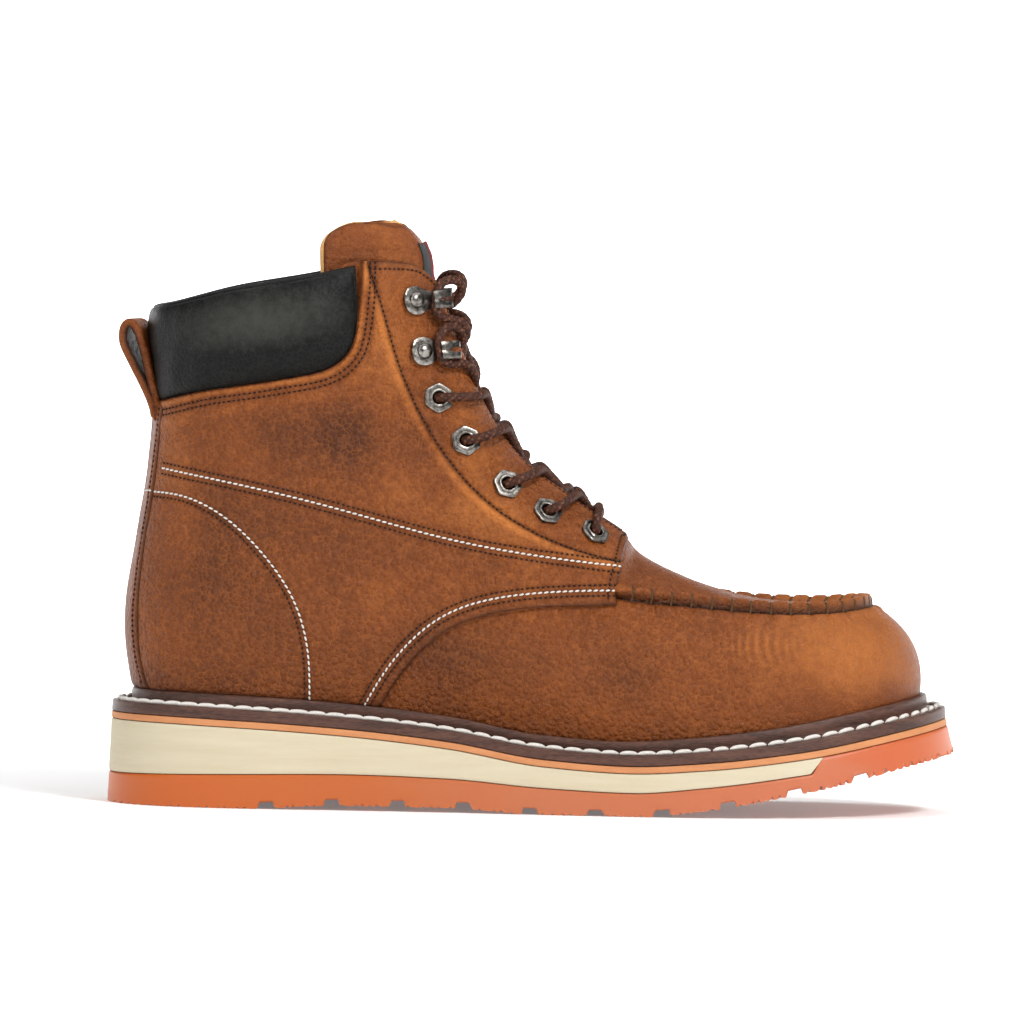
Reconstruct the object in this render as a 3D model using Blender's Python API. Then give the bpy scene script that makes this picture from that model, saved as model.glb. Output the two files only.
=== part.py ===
# Moc toe work boot for the right foot, empty, standing on its sole.
# X runs from heel to toe, Y to the inner side of the foot, Z up, and the origin is on the floor under the
# middle of the sole. Every size is in millimetres until a mesh is made.

import math

import bmesh
import bpy
import numpy as np

MM = 0.001
GAP = 0.3  # clearance between two pieces that meet
HALF_GAP = GAP / 2
SEWN_GAP = 0.4  # clearance of a piece sewn flat on the upper
METAL_GAP = 0.55  # clearance of a flat eyelet or hook over the curved leather


def columns(names, *rows):
    """A table of sections: one array for each named column."""
    return dict(zip(names, np.array(rows, float).T))


# The last's bottom edge. "turn" goes round from the heel (0) to the toe (180); "lateral" and "medial" are the
# semi-axes of the round outline there, and "drift" is how far its middle line leans to the inner side.
LAST_HALF_LENGTH = 142.0
OUTLINE = columns(
    ("turn", "lateral", "medial", "drift"),
    (0, 65.0, 65.0, 0.0),
    (30, 55.5, 55.5, 0.0),
    (60, 38.3, 37.0, 0.0),
    (90, 38.4, 32.4, 0.0),
    (120, 53.0, 52.0, 0.4),
    (150, 68.0, 70.5, 2.5),
    (180, 72.0, 76.0, 5.0),
)

# Margins of the sole's layers beyond the last's edge.
FEATHER_MARGIN = -3.0  # where the upper stands on the sole
WELT_MARGIN = 8.0
HEEL_TREAD_MARGIN = 9.2
TOE_TREAD_MARGIN = 11.5
INSOLE_MARGIN = -6.9

# Side view of the sole: heights of the tread, of the wedge's underside and of the welt's underside.
SOLE = columns(
    ("x", "tread", "wedge", "welt"),
    (-153, 0.0, 10.8, 32.6),
    (-138, 0.0, 11.3, 32.4),
    (-104, 0.0, 12.2, 31.2),
    (-66, 1.7, 12.8, 28.9),
    (-30, 1.7, 12.0, 25.2),
    (4, 0.0, 9.4, 19.6),
    (36, 0.0, 8.3, 17.8),
    (60, 2.4, 10.4, 19.2),
    (96, 9.4, 15.6, 23.6),
    (132, 17.0, 22.6, 30.8),
    (153, 21.4, 27.0, 35.2),
)
SLIP_SOLE = 2.6  # thickness of the thin layer between welt and wedge
WEDGE_END_LOW, WEDGE_END_HIGH = 98.0, 103.2  # slanting front end of the wedge, along X
WELT_EDGE = 4.0  # thickness of the welt's outer edge
WELT_LIP = 7.2  # height of the storm lip above that edge
WELT_LIP_WALL, WELT_LIP_SPREAD, WELT_LIP_BEVEL = 1.6, 0.8, 0.7  # lip: wall, how much thicker at its foot, bevel
WELT_DRAFT = 0.3  # how far the top of the edge stands in
WELT_CLEAR = GAP + 0.08  # level clearance from the leaning wall of the upper
INSOLE = 3.6

# Cross grooves of the tread.
GROOVE_FIRST, GROOVE_PITCH, GROOVE_COUNT = -94.5, 23.5, 10
GROOVE_HALF_WIDTH, GROOVE_DEPTH, GROOVE_DRAFT = 3.0, 2.2, 0.6

# Shoulder line of the upper: half-way up the quarters, and along the moc seam from the throat to the toe.
# "low" and "high" say how far the wall swells beyond a straight line below and above it.
SHOULDER = columns(
    ("turn", "x", "lateral", "medial", "z", "low", "high"),
    (0, -141.3, 0.0, 0.0, 95.0, 4.2, -2.7),
    (15, -137.5, 13.5, 13.5, 95.0, 4.2, -2.7),
    (30, -124.0, 25.5, 25.5, 95.0, 4.2, -2.5),
    (45, -102.0, 32.5, 32.0, 95.0, 4.4, -2.0),
    (60, -74.0, 35.0, 33.8, 94.0, 4.8, -1.0),
    (75, -42.0, 37.0, 35.0, 90.0, 5.6, 1.0),
    (90, -8.0, 39.5, 37.2, 84.0, 6.5, 4.5),
    (100, 14.0, 39.2, 38.0, 80.0, 7.0, 6.0),
    (110, 35.0, 37.8, 37.6, 76.5, 7.4, 4.5),
    (120, 56.0, 36.2, 36.6, 74.7, 7.4, 2.6),
    (130, 77.0, 34.2, 34.8, 73.0, 7.4, 1.4),
    (140, 94.0, 31.0, 31.5, 72.4, 7.6, 0.8),
    (150, 107.0, 26.0, 26.0, 72.9, 8.0, 0.5),
    (165, 118.5, 14.0, 14.2, 74.2, 8.6, 0.3),
    (180, 122.0, 0.0, 0.0, 74.6, 8.7, 0.2),
)

# Top line: the collar from the heel forward, down the throat's edge, and along the middle of the vamp.
TOP = columns(
    ("turn", "x", "half", "z"),
    (0, -136.5, 0.0, 176.5),
    (15, -132.0, 15.0, 178.0),
    (30, -121.0, 26.0, 182.0),
    (45, -103.0, 33.0, 187.5),
    (60, -80.0, 34.5, 192.5),
    (70, -61.0, 31.5, 195.7),
    (77, -47.5, 24.5, 195.0),
    (82, -39.0, 18.5, 190.0),
    (87, -31.5, 17.0, 172.0),
    (92, -22.0, 16.4, 149.0),
    (97, -7.0, 15.8, 127.0),
    (102, 12.0, 14.8, 112.5),
    (107, 33.0, 12.5, 97.0),
    (110, 36.5, 0.0, 93.0),
    (120, 54.0, 0.0, 83.8),
    (130, 72.0, 0.0, 77.5),
    (140, 86.0, 0.0, 75.4),
    (150, 95.0, 0.0, 75.0),
    (165, 100.5, 0.0, 75.2),
    (180, 102.0, 0.0, 75.3),
)
THROAT_END = 110  # turn where the throat closes on the vamp's middle line
QUARTER_END = 107  # turn of the quarters' front edge
EYESTAY_TOP = 83.5  # turn where the throat's edge starts below its rounded top corner
CREASED_FROM, CREASED_TO = 100, 110  # turns between which the moc seam's crease sets in

LEATHER = 2.4  # wall of the upper with its lining
QUARTER, QUARTER_ROWS = 1.8, 10  # leather of the quarters, sewn over the vamp, and rows of its mesh
BACKSTAY, BACKSTAY_EDGE, BACKSTAY_TURN = 2.6, 1.2, 14.4  # heel strip: thickness, at its edges, and half width
BACKSTAY_FLARE, BACKSTAY_FLARE_RISE = 4.0, 0.2  # its spread at the foot, and the rise where that ends
PAD_BACK, PAD_SIDE, PAD_HEM = 2.8, 5.2, 1.0  # collar pad: swell at the back, at the sides and along its edges
PAD_FULL, PAD_ROUNDING = 0.6, 0.12  # shares of its length: where it is fully swollen, and its rounded end
PAD_END = 67.5  # turn of the pad's front edge
PAD_TURNS = (0, 8, 15, 22, 30, 38, 45, 52, 60, 65, PAD_END)
TRIM_FOOT = 0.7  # clearance of the overlays above the welt's lip
TRIM_TURN = 0.3  # and beside each other, as a turn

# Lines of the side view, as height for X: the lower edge of the collar pad, and the quarter's edge on the vamp.
PAD_EDGE = columns(
    ("x", "z"),
    (-140, 143.0),
    (-121, 147.8),
    (-103, 151.0),
    (-85, 154.0),
    (-74, 157.4),
    (-67, 164.0),
    (-64, 172.0),
)
VAMP_EDGE = columns(
    ("x", "z"),
    (-57, 31.5),
    (-49.5, 45.2),
    (-41, 56.2),
    (-29, 65.8),
    (-12, 71.6),
    (9, 74.0),
    (34, 74.6),
)

# Tongue: for each row the points under the throat's edge and at the tip of the wing, how far it sinks below
# the upper's lining, how far its middle crowns, how far it is carried up past the collar, and its thickness.
TONGUE = columns(
    ("edge_turn", "edge_rise", "wing_turn", "wing_rise", "sink", "crown", "up", "thick"),
    (114, 0.90, 114, 0.76, 0.6, 0.1, 0.0, 2.0),
    (107, 0.98, 107, 0.82, 1.6, 0.0, 0.0, 2.4),
    (102, 1.00, 100, 0.80, 0.9, 1.8, 0.0, 3.0),
    (97, 1.00, 94, 0.80, 0.9, 2.2, 0.0, 3.6),
    (92, 1.00, 86, 0.82, 0.9, 2.2, 0.0, 4.2),
    (87, 1.00, 75, 0.88, 0.9, 2.2, 0.0, 4.8),
    (82, 1.00, 62, 0.96, 0.9, 2.2, 0.0, 5.4),
    (82, 1.00, 61, 0.98, 0.7, 1.4, 8.0, 5.8),
    (81.5, 1.00, 62, 1.00, 1.3, 0.8, 13.4, 5.0),
    (80, 1.00, 65, 1.00, 2.6, 0.0, 16.4, 2.4),
)
TONGUE_ROWS = 18

# Lacing: places of the eyelets and hooks in the side view, from the bottom up.
EYELETS = ((21.3, 100.1), (4.2, 107.4), (-10.3, 116.9), (-25.3, 132.2), (-35.3, 147.2))
HOOKS = ((-40.9, 163.8), (-44.1, 181.8))
EYELET_ACROSS, EYELET_HOLE, EYELET_THICK = 9.6, 4.4, 1.2
HOOK_THICK = 1.1
RIVET_DOME = columns(("radius", "height"), (2.3, 0.6), (2.5, 1.3), (1.9, 2.2), (1.0, 2.6))
LACE_RADIUS, LACE_SIDES = 1.8, 6
LACE_CROWN = 2.2  # rise of a crossing at the middle
LOW_LACE_CROWN, TOP_LACE_CROWN = 0.5, 1.4  # and of the lowest and the top one, which lie between the edges
LACE_SLACK = 0.8  # how far a strand stands off where it bends over an edge
LACE_TUCK = 0.72  # share of the throat's half width where a strand tucks under

# Bent strip of a lace hook: forward towards the throat, away from the leather, and half width.
HOOK_STRIP = columns(
    ("forward", "away", "half"),
    (-5.0, 0.0, 2.2),
    (-3.4, 0.0, 4.2),
    (0.0, 0.0, 4.9),
    (3.2, 0.0, 3.6),
    (5.6, 0.3, 3.2),
    (7.6, 1.7, 3.6),
    (8.3, 3.6, 3.8),
    (7.4, 5.2, 3.8),
    (5.4, 5.7, 3.6),
)

# Middle line of the pull loop's strap in the side view, once round from its foot.
LOOP_LINE = columns(
    ("x", "z"),
    (-139.8, 142.6),
    (-143.6, 150.0),
    (-147.6, 160.0),
    (-149.9, 167.5),
    (-149.2, 171.4),
    (-146.4, 172.2),
    (-144.0, 168.0),
    (-142.4, 160.0),
    (-140.9, 150.5),
)
LOOP_STRAP, LOOP_HALF_WIDTH = 2.4, 9.0
SEAM_RIDGE, SEAM_RIDGE_AT, SEAM_RIDGE_FOOT = 3.4, 1.8, 4.6  # moc seam: height, and distances in from the crease
SEAM_RIDGE_FOOT_SHARE = 0.15  # share of that height left at the inner foot

# Columns of the upper's mesh, and its rows below and above the shoulder.
TURNS = (0, 8, 15, 22, 30, 38, 45, 52, 60, 65, 70, 73.5, 77, 79.5, 82, 84.5, 87, 89.5, 92, 94.5, 97, 99.5, 102)
TURNS += (104.5, 107, 110, 115, 120, 127, 134, 142, 150, 158, 165, 172, 180)
LOW_ROWS = (0.0, 0.07, 0.16, 0.27, 0.39, 0.5)
HIGH_ROWS = (0.62, 0.75, 0.88, 1.0)


def taut(at, values, where):
    """Curve through the rows that never overshoots them (monotone cubic)."""
    step = np.diff(at)
    slope = np.diff(values) / step
    same_way = slope[:-1] * slope[1:] > 0
    with np.errstate(divide="ignore", invalid="ignore"):
        mean = 3 * (step[:-1] + step[1:])
        mean = mean / ((step[:-1] + 2 * step[1:]) / slope[:-1] + (2 * step[:-1] + step[1:]) / slope[1:])
    lean = np.concatenate([[slope[0]], np.where(same_way, mean, 0.0), [slope[-1]]])
    where = np.clip(where, at[0], at[-1])
    i = np.clip(np.searchsorted(at, where, side="right") - 1, 0, len(step) - 1)
    t = (where - at[i]) / step[i]
    rise = t * t * (3 - 2 * t)
    bend = step[i] * (t * (1 - t) ** 2 * lean[i] - t * t * (1 - t) * lean[i + 1])
    return values[i] * (1 - rise) + values[i + 1] * rise + bend


def batten(at, values, where):
    """Curve through the rows as a thin batten bends (natural cubic)."""
    step = np.diff(at)
    count = len(at)
    matrix = np.eye(count)
    pull = np.zeros(count)
    for k in range(1, count - 1):
        matrix[k, k - 1 : k + 2] = step[k - 1], 2 * (step[k - 1] + step[k]), step[k]
        pull[k] = 6 * ((values[k + 1] - values[k]) / step[k] - (values[k] - values[k - 1]) / step[k - 1])
    bow = np.linalg.solve(matrix, pull)
    where = np.clip(where, at[0], at[-1])
    i = np.clip(np.searchsorted(at, where, side="right") - 1, 0, count - 2)
    b = (where - at[i]) / step[i]
    a = 1 - b
    bent = ((a**3 - a) * bow[i] + (b**3 - b) * bow[i + 1]) * step[i] ** 2 / 6
    return a * values[i] + b * values[i + 1] + bent


def sole_height(name, x):
    return taut(SOLE["x"], SOLE[name], x)


def tread_margin(turn):
    toe_share = (1 - np.cos(np.radians(turn))) / 2
    return HEEL_TREAD_MARGIN + (TOE_TREAD_MARGIN - HEEL_TREAD_MARGIN) * toe_share


# The outsole is the longest and widest piece, and its box is centred on the origin.
LAST_MIDDLE = (HEEL_TREAD_MARGIN - TOE_TREAD_MARGIN) / 2


def spread(turn, margin):
    """Lateral and medial Y of the outline, before it is centred."""
    sine = np.sin(np.radians(turn))
    drift = batten(OUTLINE["turn"], OUTLINE["drift"], turn)
    lateral = drift - (batten(OUTLINE["turn"], OUTLINE["lateral"], turn) + margin) * sine
    medial = drift + (batten(OUTLINE["turn"], OUTLINE["medial"], turn) + margin) * sine
    return lateral, medial


ALL_ROUND = np.linspace(0, 180, 361)
WIDEST = spread(ALL_ROUND, tread_margin(ALL_ROUND))
CENTRE = (WIDEST[0].min() + WIDEST[1].max()) / 2


def outline(turn, margin):
    """Point of the sole's outline. A negative turn is on the lateral side."""
    around = np.abs(turn)
    lateral, medial = spread(around, margin)
    x = LAST_MIDDLE - (LAST_HALF_LENGTH + margin) * np.cos(np.radians(around))
    return x, np.where(turn < 0, lateral, medial) - CENTRE


def station(turn):
    """X where the sole's heights are read for a turn, the same for every layer."""
    return LAST_MIDDLE - (LAST_HALF_LENGTH + WELT_MARGIN) * np.cos(np.radians(np.abs(turn)))


def turn_at(x):
    return math.degrees(math.acos((LAST_MIDDLE - x) / (LAST_HALF_LENGTH + WELT_MARGIN)))


def unit(v):
    return v / np.maximum(np.linalg.norm(v, axis=-1, keepdims=True), 1e-9)


def batten_shares():
    """Second derivatives of the natural cubic through five even rows, as shares of those rows."""
    shares = np.zeros((5, 5))
    second = 6 * (np.eye(5)[0:3] - 2 * np.eye(5)[1:4] + np.eye(5)[2:5])
    shares[1:4] = np.linalg.solve(np.array([[4, 1, 0], [1, 4, 1], [0, 1, 4.0]]), second)
    return shares


BOW = batten_shares()


def row_shares(rise, turn):
    """How much each of a column's five control rows counts at a rise: one smooth curve on the quarters, and
    two that meet in a crease at the moc seam."""
    s = 4 * np.asarray(rise, float)
    i = np.clip(np.floor(s), 0, 3).astype(int)
    b = (s - i)[..., None]
    a = 1 - b
    rows = np.eye(5)
    smooth = a * rows[i] + b * rows[i + 1] + ((a**3 - a) * BOW[i] + (b**3 - b) * BOW[i + 1]) / 6
    start = np.where(s <= 2, 0, 2)
    u = (s - start)[..., None]
    first, middle, last = rows[start], rows[start + 1], rows[start + 2]
    creased = (u - 1) * (u - 2) / 2 * first + u * (2 - u) * middle + u * (u - 1) / 2 * last
    q = np.clip((np.abs(turn) - CREASED_FROM) / (CREASED_TO - CREASED_FROM), 0, 1)[..., None]
    q = q * q * (3 - 2 * q)
    return smooth * (1 - q) + creased * q


def outward(turn):
    """Level direction out of the outline."""
    ahead = np.array(outline(wrapped(turn + 0.5), 0.0))
    behind = np.array(outline(wrapped(turn - 0.5), 0.0))
    along = np.moveaxis(ahead - behind, 0, -1)
    return unit(np.stack([-along[..., 1], along[..., 0], np.zeros(along.shape[:-1])], axis=-1))


def wrapped(turn):
    """A turn past the toe comes back on the other side."""
    return np.where(turn > 180, turn - 360, np.where(turn < -180, turn + 360, turn))


def swelled(low, high, amount, out):
    """Half-way point between two control rows, pushed out square to the line between them."""
    chord = unit(high - low)
    push = out + np.array([0.0, 0.0, 1.0])
    push = unit(push - (push * chord).sum(-1, keepdims=True) * chord)
    return (low + high) / 2 + amount[..., None] * push


def control_rows(turn):
    """Feather edge, lower swell, shoulder, upper swell and top line of the upper at a turn."""
    around = np.abs(turn)
    side = np.where(turn < 0, -1.0, 1.0)
    x, y = outline(turn, FEATHER_MARGIN)
    feather = np.stack([x, y, sole_height("welt", station(turn)) + HALF_GAP], axis=-1)
    middle = batten(OUTLINE["turn"], OUTLINE["drift"], around) - CENTRE
    mid = {name: batten(SHOULDER["turn"], SHOULDER[name], around) for name in SHOULDER}
    half = np.where(turn < 0, mid["lateral"], mid["medial"])
    shoulder = np.stack([mid["x"], middle + side * half, mid["z"]], axis=-1)
    end = {name: taut(TOP["turn"], TOP[name], around) for name in TOP}
    top = np.stack([end["x"], middle + side * end["half"], end["z"]], axis=-1)
    out = outward(turn)
    low = swelled(feather, shoulder, mid["low"], out)
    high = swelled(shoulder, top, mid["high"], out)
    return np.stack([feather, low, shoulder, high, top], axis=-2)


def skin(turn, rise):
    """Outer face of the upper: rise 0 at the feather edge, 0.5 at the shoulder and 1 at the top line."""
    turn, rise = np.broadcast_arrays(np.asarray(turn, float), np.asarray(rise, float))
    return (row_shares(rise, turn)[..., None] * control_rows(turn)).sum(axis=-2)


def lifted(turn, rise, lift):
    """Point at a height over the upper's outer face; below it where the lift is negative."""
    turn, rise = np.broadcast_arrays(np.asarray(turn, float), np.asarray(rise, float))
    around = skin(wrapped(turn + 0.4), rise) - skin(wrapped(turn - 0.4), rise)
    up = skin(turn, rise + 0.004) - skin(turn, rise - 0.004)
    normal = unit(np.cross(up, around))
    return skin(turn, rise) + normal * np.asarray(lift, float)[..., None]


def rise_at(turn, line):
    """Rise where each column crosses a line of the side view, given as height for X."""
    ladder = np.linspace(0, 1, 401)
    rises = []
    for one in np.ravel(turn):
        column = skin(np.full(ladder.shape, one), ladder)
        above = column[:, 2] - line(column[:, 0])
        rises.append(np.interp(0.0, above, ladder))
    return np.array(rises).reshape(np.shape(turn))


# Meshes and materials


def start_scene():
    for obj in list(bpy.data.objects):
        bpy.data.objects.remove(obj, do_unlink=True)


def finish(name, colour, roughness, metallic=0.0):
    material = bpy.data.materials.new(name)
    material.use_nodes = True
    shader = material.node_tree.nodes["Principled BSDF"]
    shader.inputs["Base Color"].default_value = (*colour, 1.0)
    shader.inputs["Roughness"].default_value = roughness
    shader.inputs["Metallic"].default_value = metallic
    return material


def solid(name, points, faces, material, smooth_angle=35):
    """One closed mesh object, with its doubled points merged and its faces turned outwards."""
    mesh = bpy.data.meshes.new(name)
    mesh.from_pydata((np.asarray(points) * MM).tolist(), [], faces)
    form = bmesh.new()
    form.from_mesh(mesh)
    bmesh.ops.remove_doubles(form, verts=form.verts, dist=0.02 * MM)
    bmesh.ops.recalc_face_normals(form, faces=form.faces)
    form.to_mesh(mesh)
    form.free()
    mesh.shade_smooth()
    mesh.set_sharp_from_angle(angle=math.radians(smooth_angle))
    mesh.materials.append(material)
    obj = bpy.data.objects.new(name, mesh)
    bpy.context.scene.collection.objects.link(obj)
    return obj


def grid_faces(across, along, first=0, closed=False, flip=False):
    """Quads of a grid of points stored row after row, "along" points to a row."""
    faces = []
    for i in range(across if closed else across - 1):
        for j in range(along - 1):
            a, b = first + i * along + j, first + (i + 1) % across * along + j
            quad = (a, b, b + 1, a + 1)
            faces.append(quad[::-1] if flip else quad)
    return faces


def shell(name, outer, inner, material):
    """Solid between two grids of the same size, closed round their edges."""
    across, along = outer.shape[:2]
    count = across * along
    faces = grid_faces(across, along) + grid_faces(across, along, count, flip=True)
    for i in range(across - 1):
        a, b = i * along, (i + 1) * along
        faces.append((b, a, a + count, b + count))
        a, b = a + along - 1, b + along - 1
        faces.append((a, b, b + count, a + count))
    last = (across - 1) * along
    for j in range(along - 1):
        faces.append((j, j + 1, j + 1 + count, j + count))
        faces.append((last + j + 1, last + j, last + j + count, last + j + 1 + count))
    points = np.concatenate([outer.reshape(-1, 3), inner.reshape(-1, 3)])
    return solid(name, points, faces, material)


# Sole


def flared(turn, height):
    """Point on the sole's sloping side at a height, for signed turns."""
    x = station(turn)
    top, bottom = sole_height("welt", x), sole_height("tread", x)
    share = np.clip((top - height) / (top - bottom), 0, 1)
    margin = WELT_MARGIN + (tread_margin(np.abs(turn)) - WELT_MARGIN) * share
    px, py = outline(turn, margin)
    return np.stack([px, py, height], axis=-1)


def slab(name, low_turns, low, high_turns, high, material, edge=flared):
    """Layer of the sole between two heights. Its stations are turns from the heel forward, and each gives a
    lateral and a medial point."""
    low_turns, high_turns = np.asarray(low_turns, float), np.asarray(high_turns, float)
    rings = [edge(-high_turns, high), edge(high_turns, high), edge(-low_turns, low), edge(low_turns, low)]
    count = len(low_turns)
    top_left, top_right, low_left, low_right = (k * count for k in range(4))
    faces = []
    for i in range(count - 1):
        j = i + 1
        faces.append((top_left + i, top_left + j, top_right + j, top_right + i))
        faces.append((low_left + i, low_right + i, low_right + j, low_left + j))
        faces.append((top_left + i, low_left + i, low_left + j, top_left + j))
        faces.append((top_right + i, top_right + j, low_right + j, low_right + i))
    for i in (0, count - 1):
        faces.append((top_left + i, top_right + i, low_right + i, low_left + i))
    return solid(name, np.concatenate(rings), faces, material)


def make_outsole(rubber):
    """Tread with cross grooves. In front of the wedge it fills up to the slip sole as a toe bumper."""
    marks = [(turn, 0.0) for turn in np.linspace(0, 180, 33)]
    half, draft = GROOVE_HALF_WIDTH, GROOVE_DRAFT
    for k in range(GROOVE_COUNT):
        centre = GROOVE_FIRST + k * GROOVE_PITCH
        inside = (turn_at(centre - half), turn_at(centre + half))
        marks = [m for m in marks if not inside[0] - 0.8 < m[0] < inside[1] + 0.8]
        floor = (turn_at(centre - half + draft), turn_at(centre + half - draft))
        marks += [(turn, 0.0) for turn in inside] + [(turn, GROOVE_DEPTH) for turn in floor]
    ramp = (turn_at(WEDGE_END_LOW + GAP), turn_at(WEDGE_END_HIGH + GAP))
    marks = sorted(marks + [(turn, 0.0) for turn in ramp])
    turns = np.array([m[0] for m in marks])
    cut = np.array([m[1] for m in marks])
    x = station(turns)
    under_slip = sole_height("welt", x) - SLIP_SOLE - HALF_GAP
    share = np.clip((turns - ramp[0]) / (ramp[1] - ramp[0]), 0, 1)
    top = (sole_height("wedge", x) - HALF_GAP) * (1 - share) + under_slip * share
    slab("outsole", turns, sole_height("tread", x) + cut, turns, top, rubber)


def make_midsole(foam):
    turns = np.linspace(0, turn_at(WEDGE_END_LOW), 21)
    high_turns = np.append(turns[:-1], turn_at(WEDGE_END_HIGH))
    low = sole_height("wedge", station(turns)) + HALF_GAP
    high = sole_height("welt", station(high_turns)) - SLIP_SOLE - HALF_GAP
    slab("midsole_wedge", turns, low, high_turns, high, foam)


def make_slip_sole(rubber):
    turns = np.linspace(0, 180, 29)
    top = sole_height("welt", station(turns)) - HALF_GAP
    slab("slip_sole", turns, top - SLIP_SOLE + GAP, turns, top, rubber)


def make_insole(board):
    def inside(turn, height):
        x, y = outline(turn, INSOLE_MARGIN)
        return np.stack([x, y, height], axis=-1)

    turns = np.linspace(0, 180, 23)
    low = sole_height("welt", station(turns)) + HALF_GAP
    slab("insole", turns, low, turns, low + INSOLE, board, edge=inside)


def round_turns():
    """Signed turns of the upper's columns, once round from the lateral toe by the heel."""
    ahead = np.array(TURNS, float)
    return np.concatenate([-ahead[:0:-1], ahead[:-1]])


def wall_at(turn, height):
    """Point of the upper's outer face at a height above the welt's underside."""
    base = sole_height("welt", station(turn))
    rise = np.array([rise_at(t, lambda x, z=b + height: np.full(np.shape(x), z)) for t, b in zip(turn, base)])
    return skin(turn, rise)


def make_welt(rubber):
    """Storm welt: a flat edge for the sole stitching, and a lip that stands against the upper."""
    turn = round_turns()
    base = sole_height("welt", station(turn))
    out = outward(turn)
    foot, lip = wall_at(turn, WELT_EDGE), wall_at(turn, WELT_EDGE + WELT_LIP)
    edge_low = np.stack([*outline(turn, WELT_MARGIN), base + HALF_GAP], axis=-1)
    edge_high = np.stack([*outline(turn, WELT_MARGIN - WELT_DRAFT), base + WELT_EDGE], axis=-1)
    lip_foot = foot + out * (WELT_CLEAR + WELT_LIP_WALL + WELT_LIP_SPREAD)
    lip_face = lip + out * (WELT_CLEAR + WELT_LIP_WALL * 0.8) - np.array([0, 0, WELT_LIP_BEVEL])
    section = [skin(turn, 0.0) + out * WELT_CLEAR, edge_low, edge_high, lip_foot, lip_face]
    section += [lip + out * WELT_CLEAR, foot + out * WELT_CLEAR]
    section.append(section[0])
    points = np.stack(section, axis=1)
    faces = grid_faces(len(points), len(section), closed=True)
    solid("welt", points.reshape(-1, 3), faces, rubber)


# Upper


def upper_grid():
    """Turns and rises of the upper's mesh points. Above the shoulder the first two rows follow the moc seam."""
    turn = round_turns()
    shoulder, top = skin(turn, 0.5), skin(turn, 1.0)
    span = np.linalg.norm(top - shoulder, axis=-1)
    seam = [0.5 + 0.5 * distance / span for distance in (SEAM_RIDGE_AT, SEAM_RIDGE_FOOT)]
    rows = [np.full(turn.shape, rise) for rise in LOW_ROWS] + seam
    rows += [np.full(turn.shape, rise) for rise in HIGH_ROWS]
    rise = np.stack(rows, axis=1)
    return np.repeat(turn[:, None], rise.shape[1], axis=1), rise


def make_upper(leather):
    """Hollow upper, open underneath, at the collar and down the throat, with the moc seam raised on it."""
    turn, rise = upper_grid()
    lift = np.zeros(rise.shape)
    ridge_row = len(LOW_ROWS)
    lift[:, ridge_row] = np.where(np.abs(turn[:, 0]) > QUARTER_END, SEAM_RIDGE, 0.0)
    lift[:, ridge_row + 1] = lift[:, ridge_row] * SEAM_RIDGE_FOOT_SHARE
    outer = lifted(turn, rise, lift)
    inner = lifted(turn, rise, np.full(rise.shape, -LEATHER))
    around = turn[:, 0]
    centre = np.abs(around) >= THROAT_END
    across_from = np.abs((around[:, None] + around + 180) % 360 - 180).argmin(axis=1)
    inner[centre, -1] = (inner[centre, -1] + inner[across_from[centre], -1]) / 2
    across, along = turn.shape
    count = across * along
    faces = grid_faces(across, along, closed=True) + grid_faces(across, along, count, closed=True, flip=True)
    for i in range(across):
        j = (i + 1) % across
        faces.append((j * along, i * along, i * along + count, j * along + count))
        if centre[i] and centre[j]:
            continue
        a, b = i * along + along - 1, j * along + along - 1
        faces.append((a, b, b + count, a + count))
    points = np.concatenate([outer.reshape(-1, 3), inner.reshape(-1, 3)])
    solid("upper", points, faces, leather)


def over_welt(turn):
    """Rise just above the welt's lip."""
    base = sole_height("welt", station(turn)) + WELT_EDGE + WELT_LIP + TRIM_FOOT
    return np.array([rise_at(t, lambda x, z=b: np.full(np.shape(x), z)) for t, b in zip(turn, base)])


def side_line(table, shift=0.0):
    return lambda x: taut(table["x"], table["z"], x) + shift


def rows_between(low, high, count):
    share = np.linspace(0, 1, count)
    return low[:, None] + (high - low)[:, None] * share


def mirrored(turn):
    return np.concatenate([-turn[:0:-1], turn])


def make_quarters(leather):
    """Quarter of each side: from the heel strip to the throat, over the vamp and under the collar pad."""
    back = np.array([BACKSTAY_TURN + 2 * TRIM_TURN, *PAD_TURNS[3:-1]])
    corner = np.array([PAD_END + TRIM_TURN])
    front_start = corner[0] + 0.5
    front = np.array([front_start, *[turn for turn in TURNS if front_start < turn <= QUARTER_END]])
    turn = np.concatenate([back, corner, front])
    for name, side in (("quarter_lateral", -1), ("quarter_medial", 1)):
        signed = side * turn
        high = np.ones(turn.shape)
        under_pad = turn < front_start
        high[under_pad] = rise_at(signed[under_pad], side_line(PAD_EDGE, -2 * GAP))
        low = np.maximum(over_welt(signed), rise_at(signed, side_line(VAMP_EDGE)))
        rise = rows_between(low, high, QUARTER_ROWS)
        around = np.repeat(turn[:, None], QUARTER_ROWS, axis=1)
        around[0] += backstay_flare(rise[0])
        under = np.full(rise.shape, SEWN_GAP)
        shell(name, lifted(side * around, rise, under + QUARTER), lifted(side * around, rise, under), leather)


def backstay_flare(rise):
    """How much wider the heel strip grows towards its foot, in turn."""
    return BACKSTAY_FLARE * np.clip(1 - rise / BACKSTAY_FLARE_RISE, 0, 1) ** 2


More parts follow.
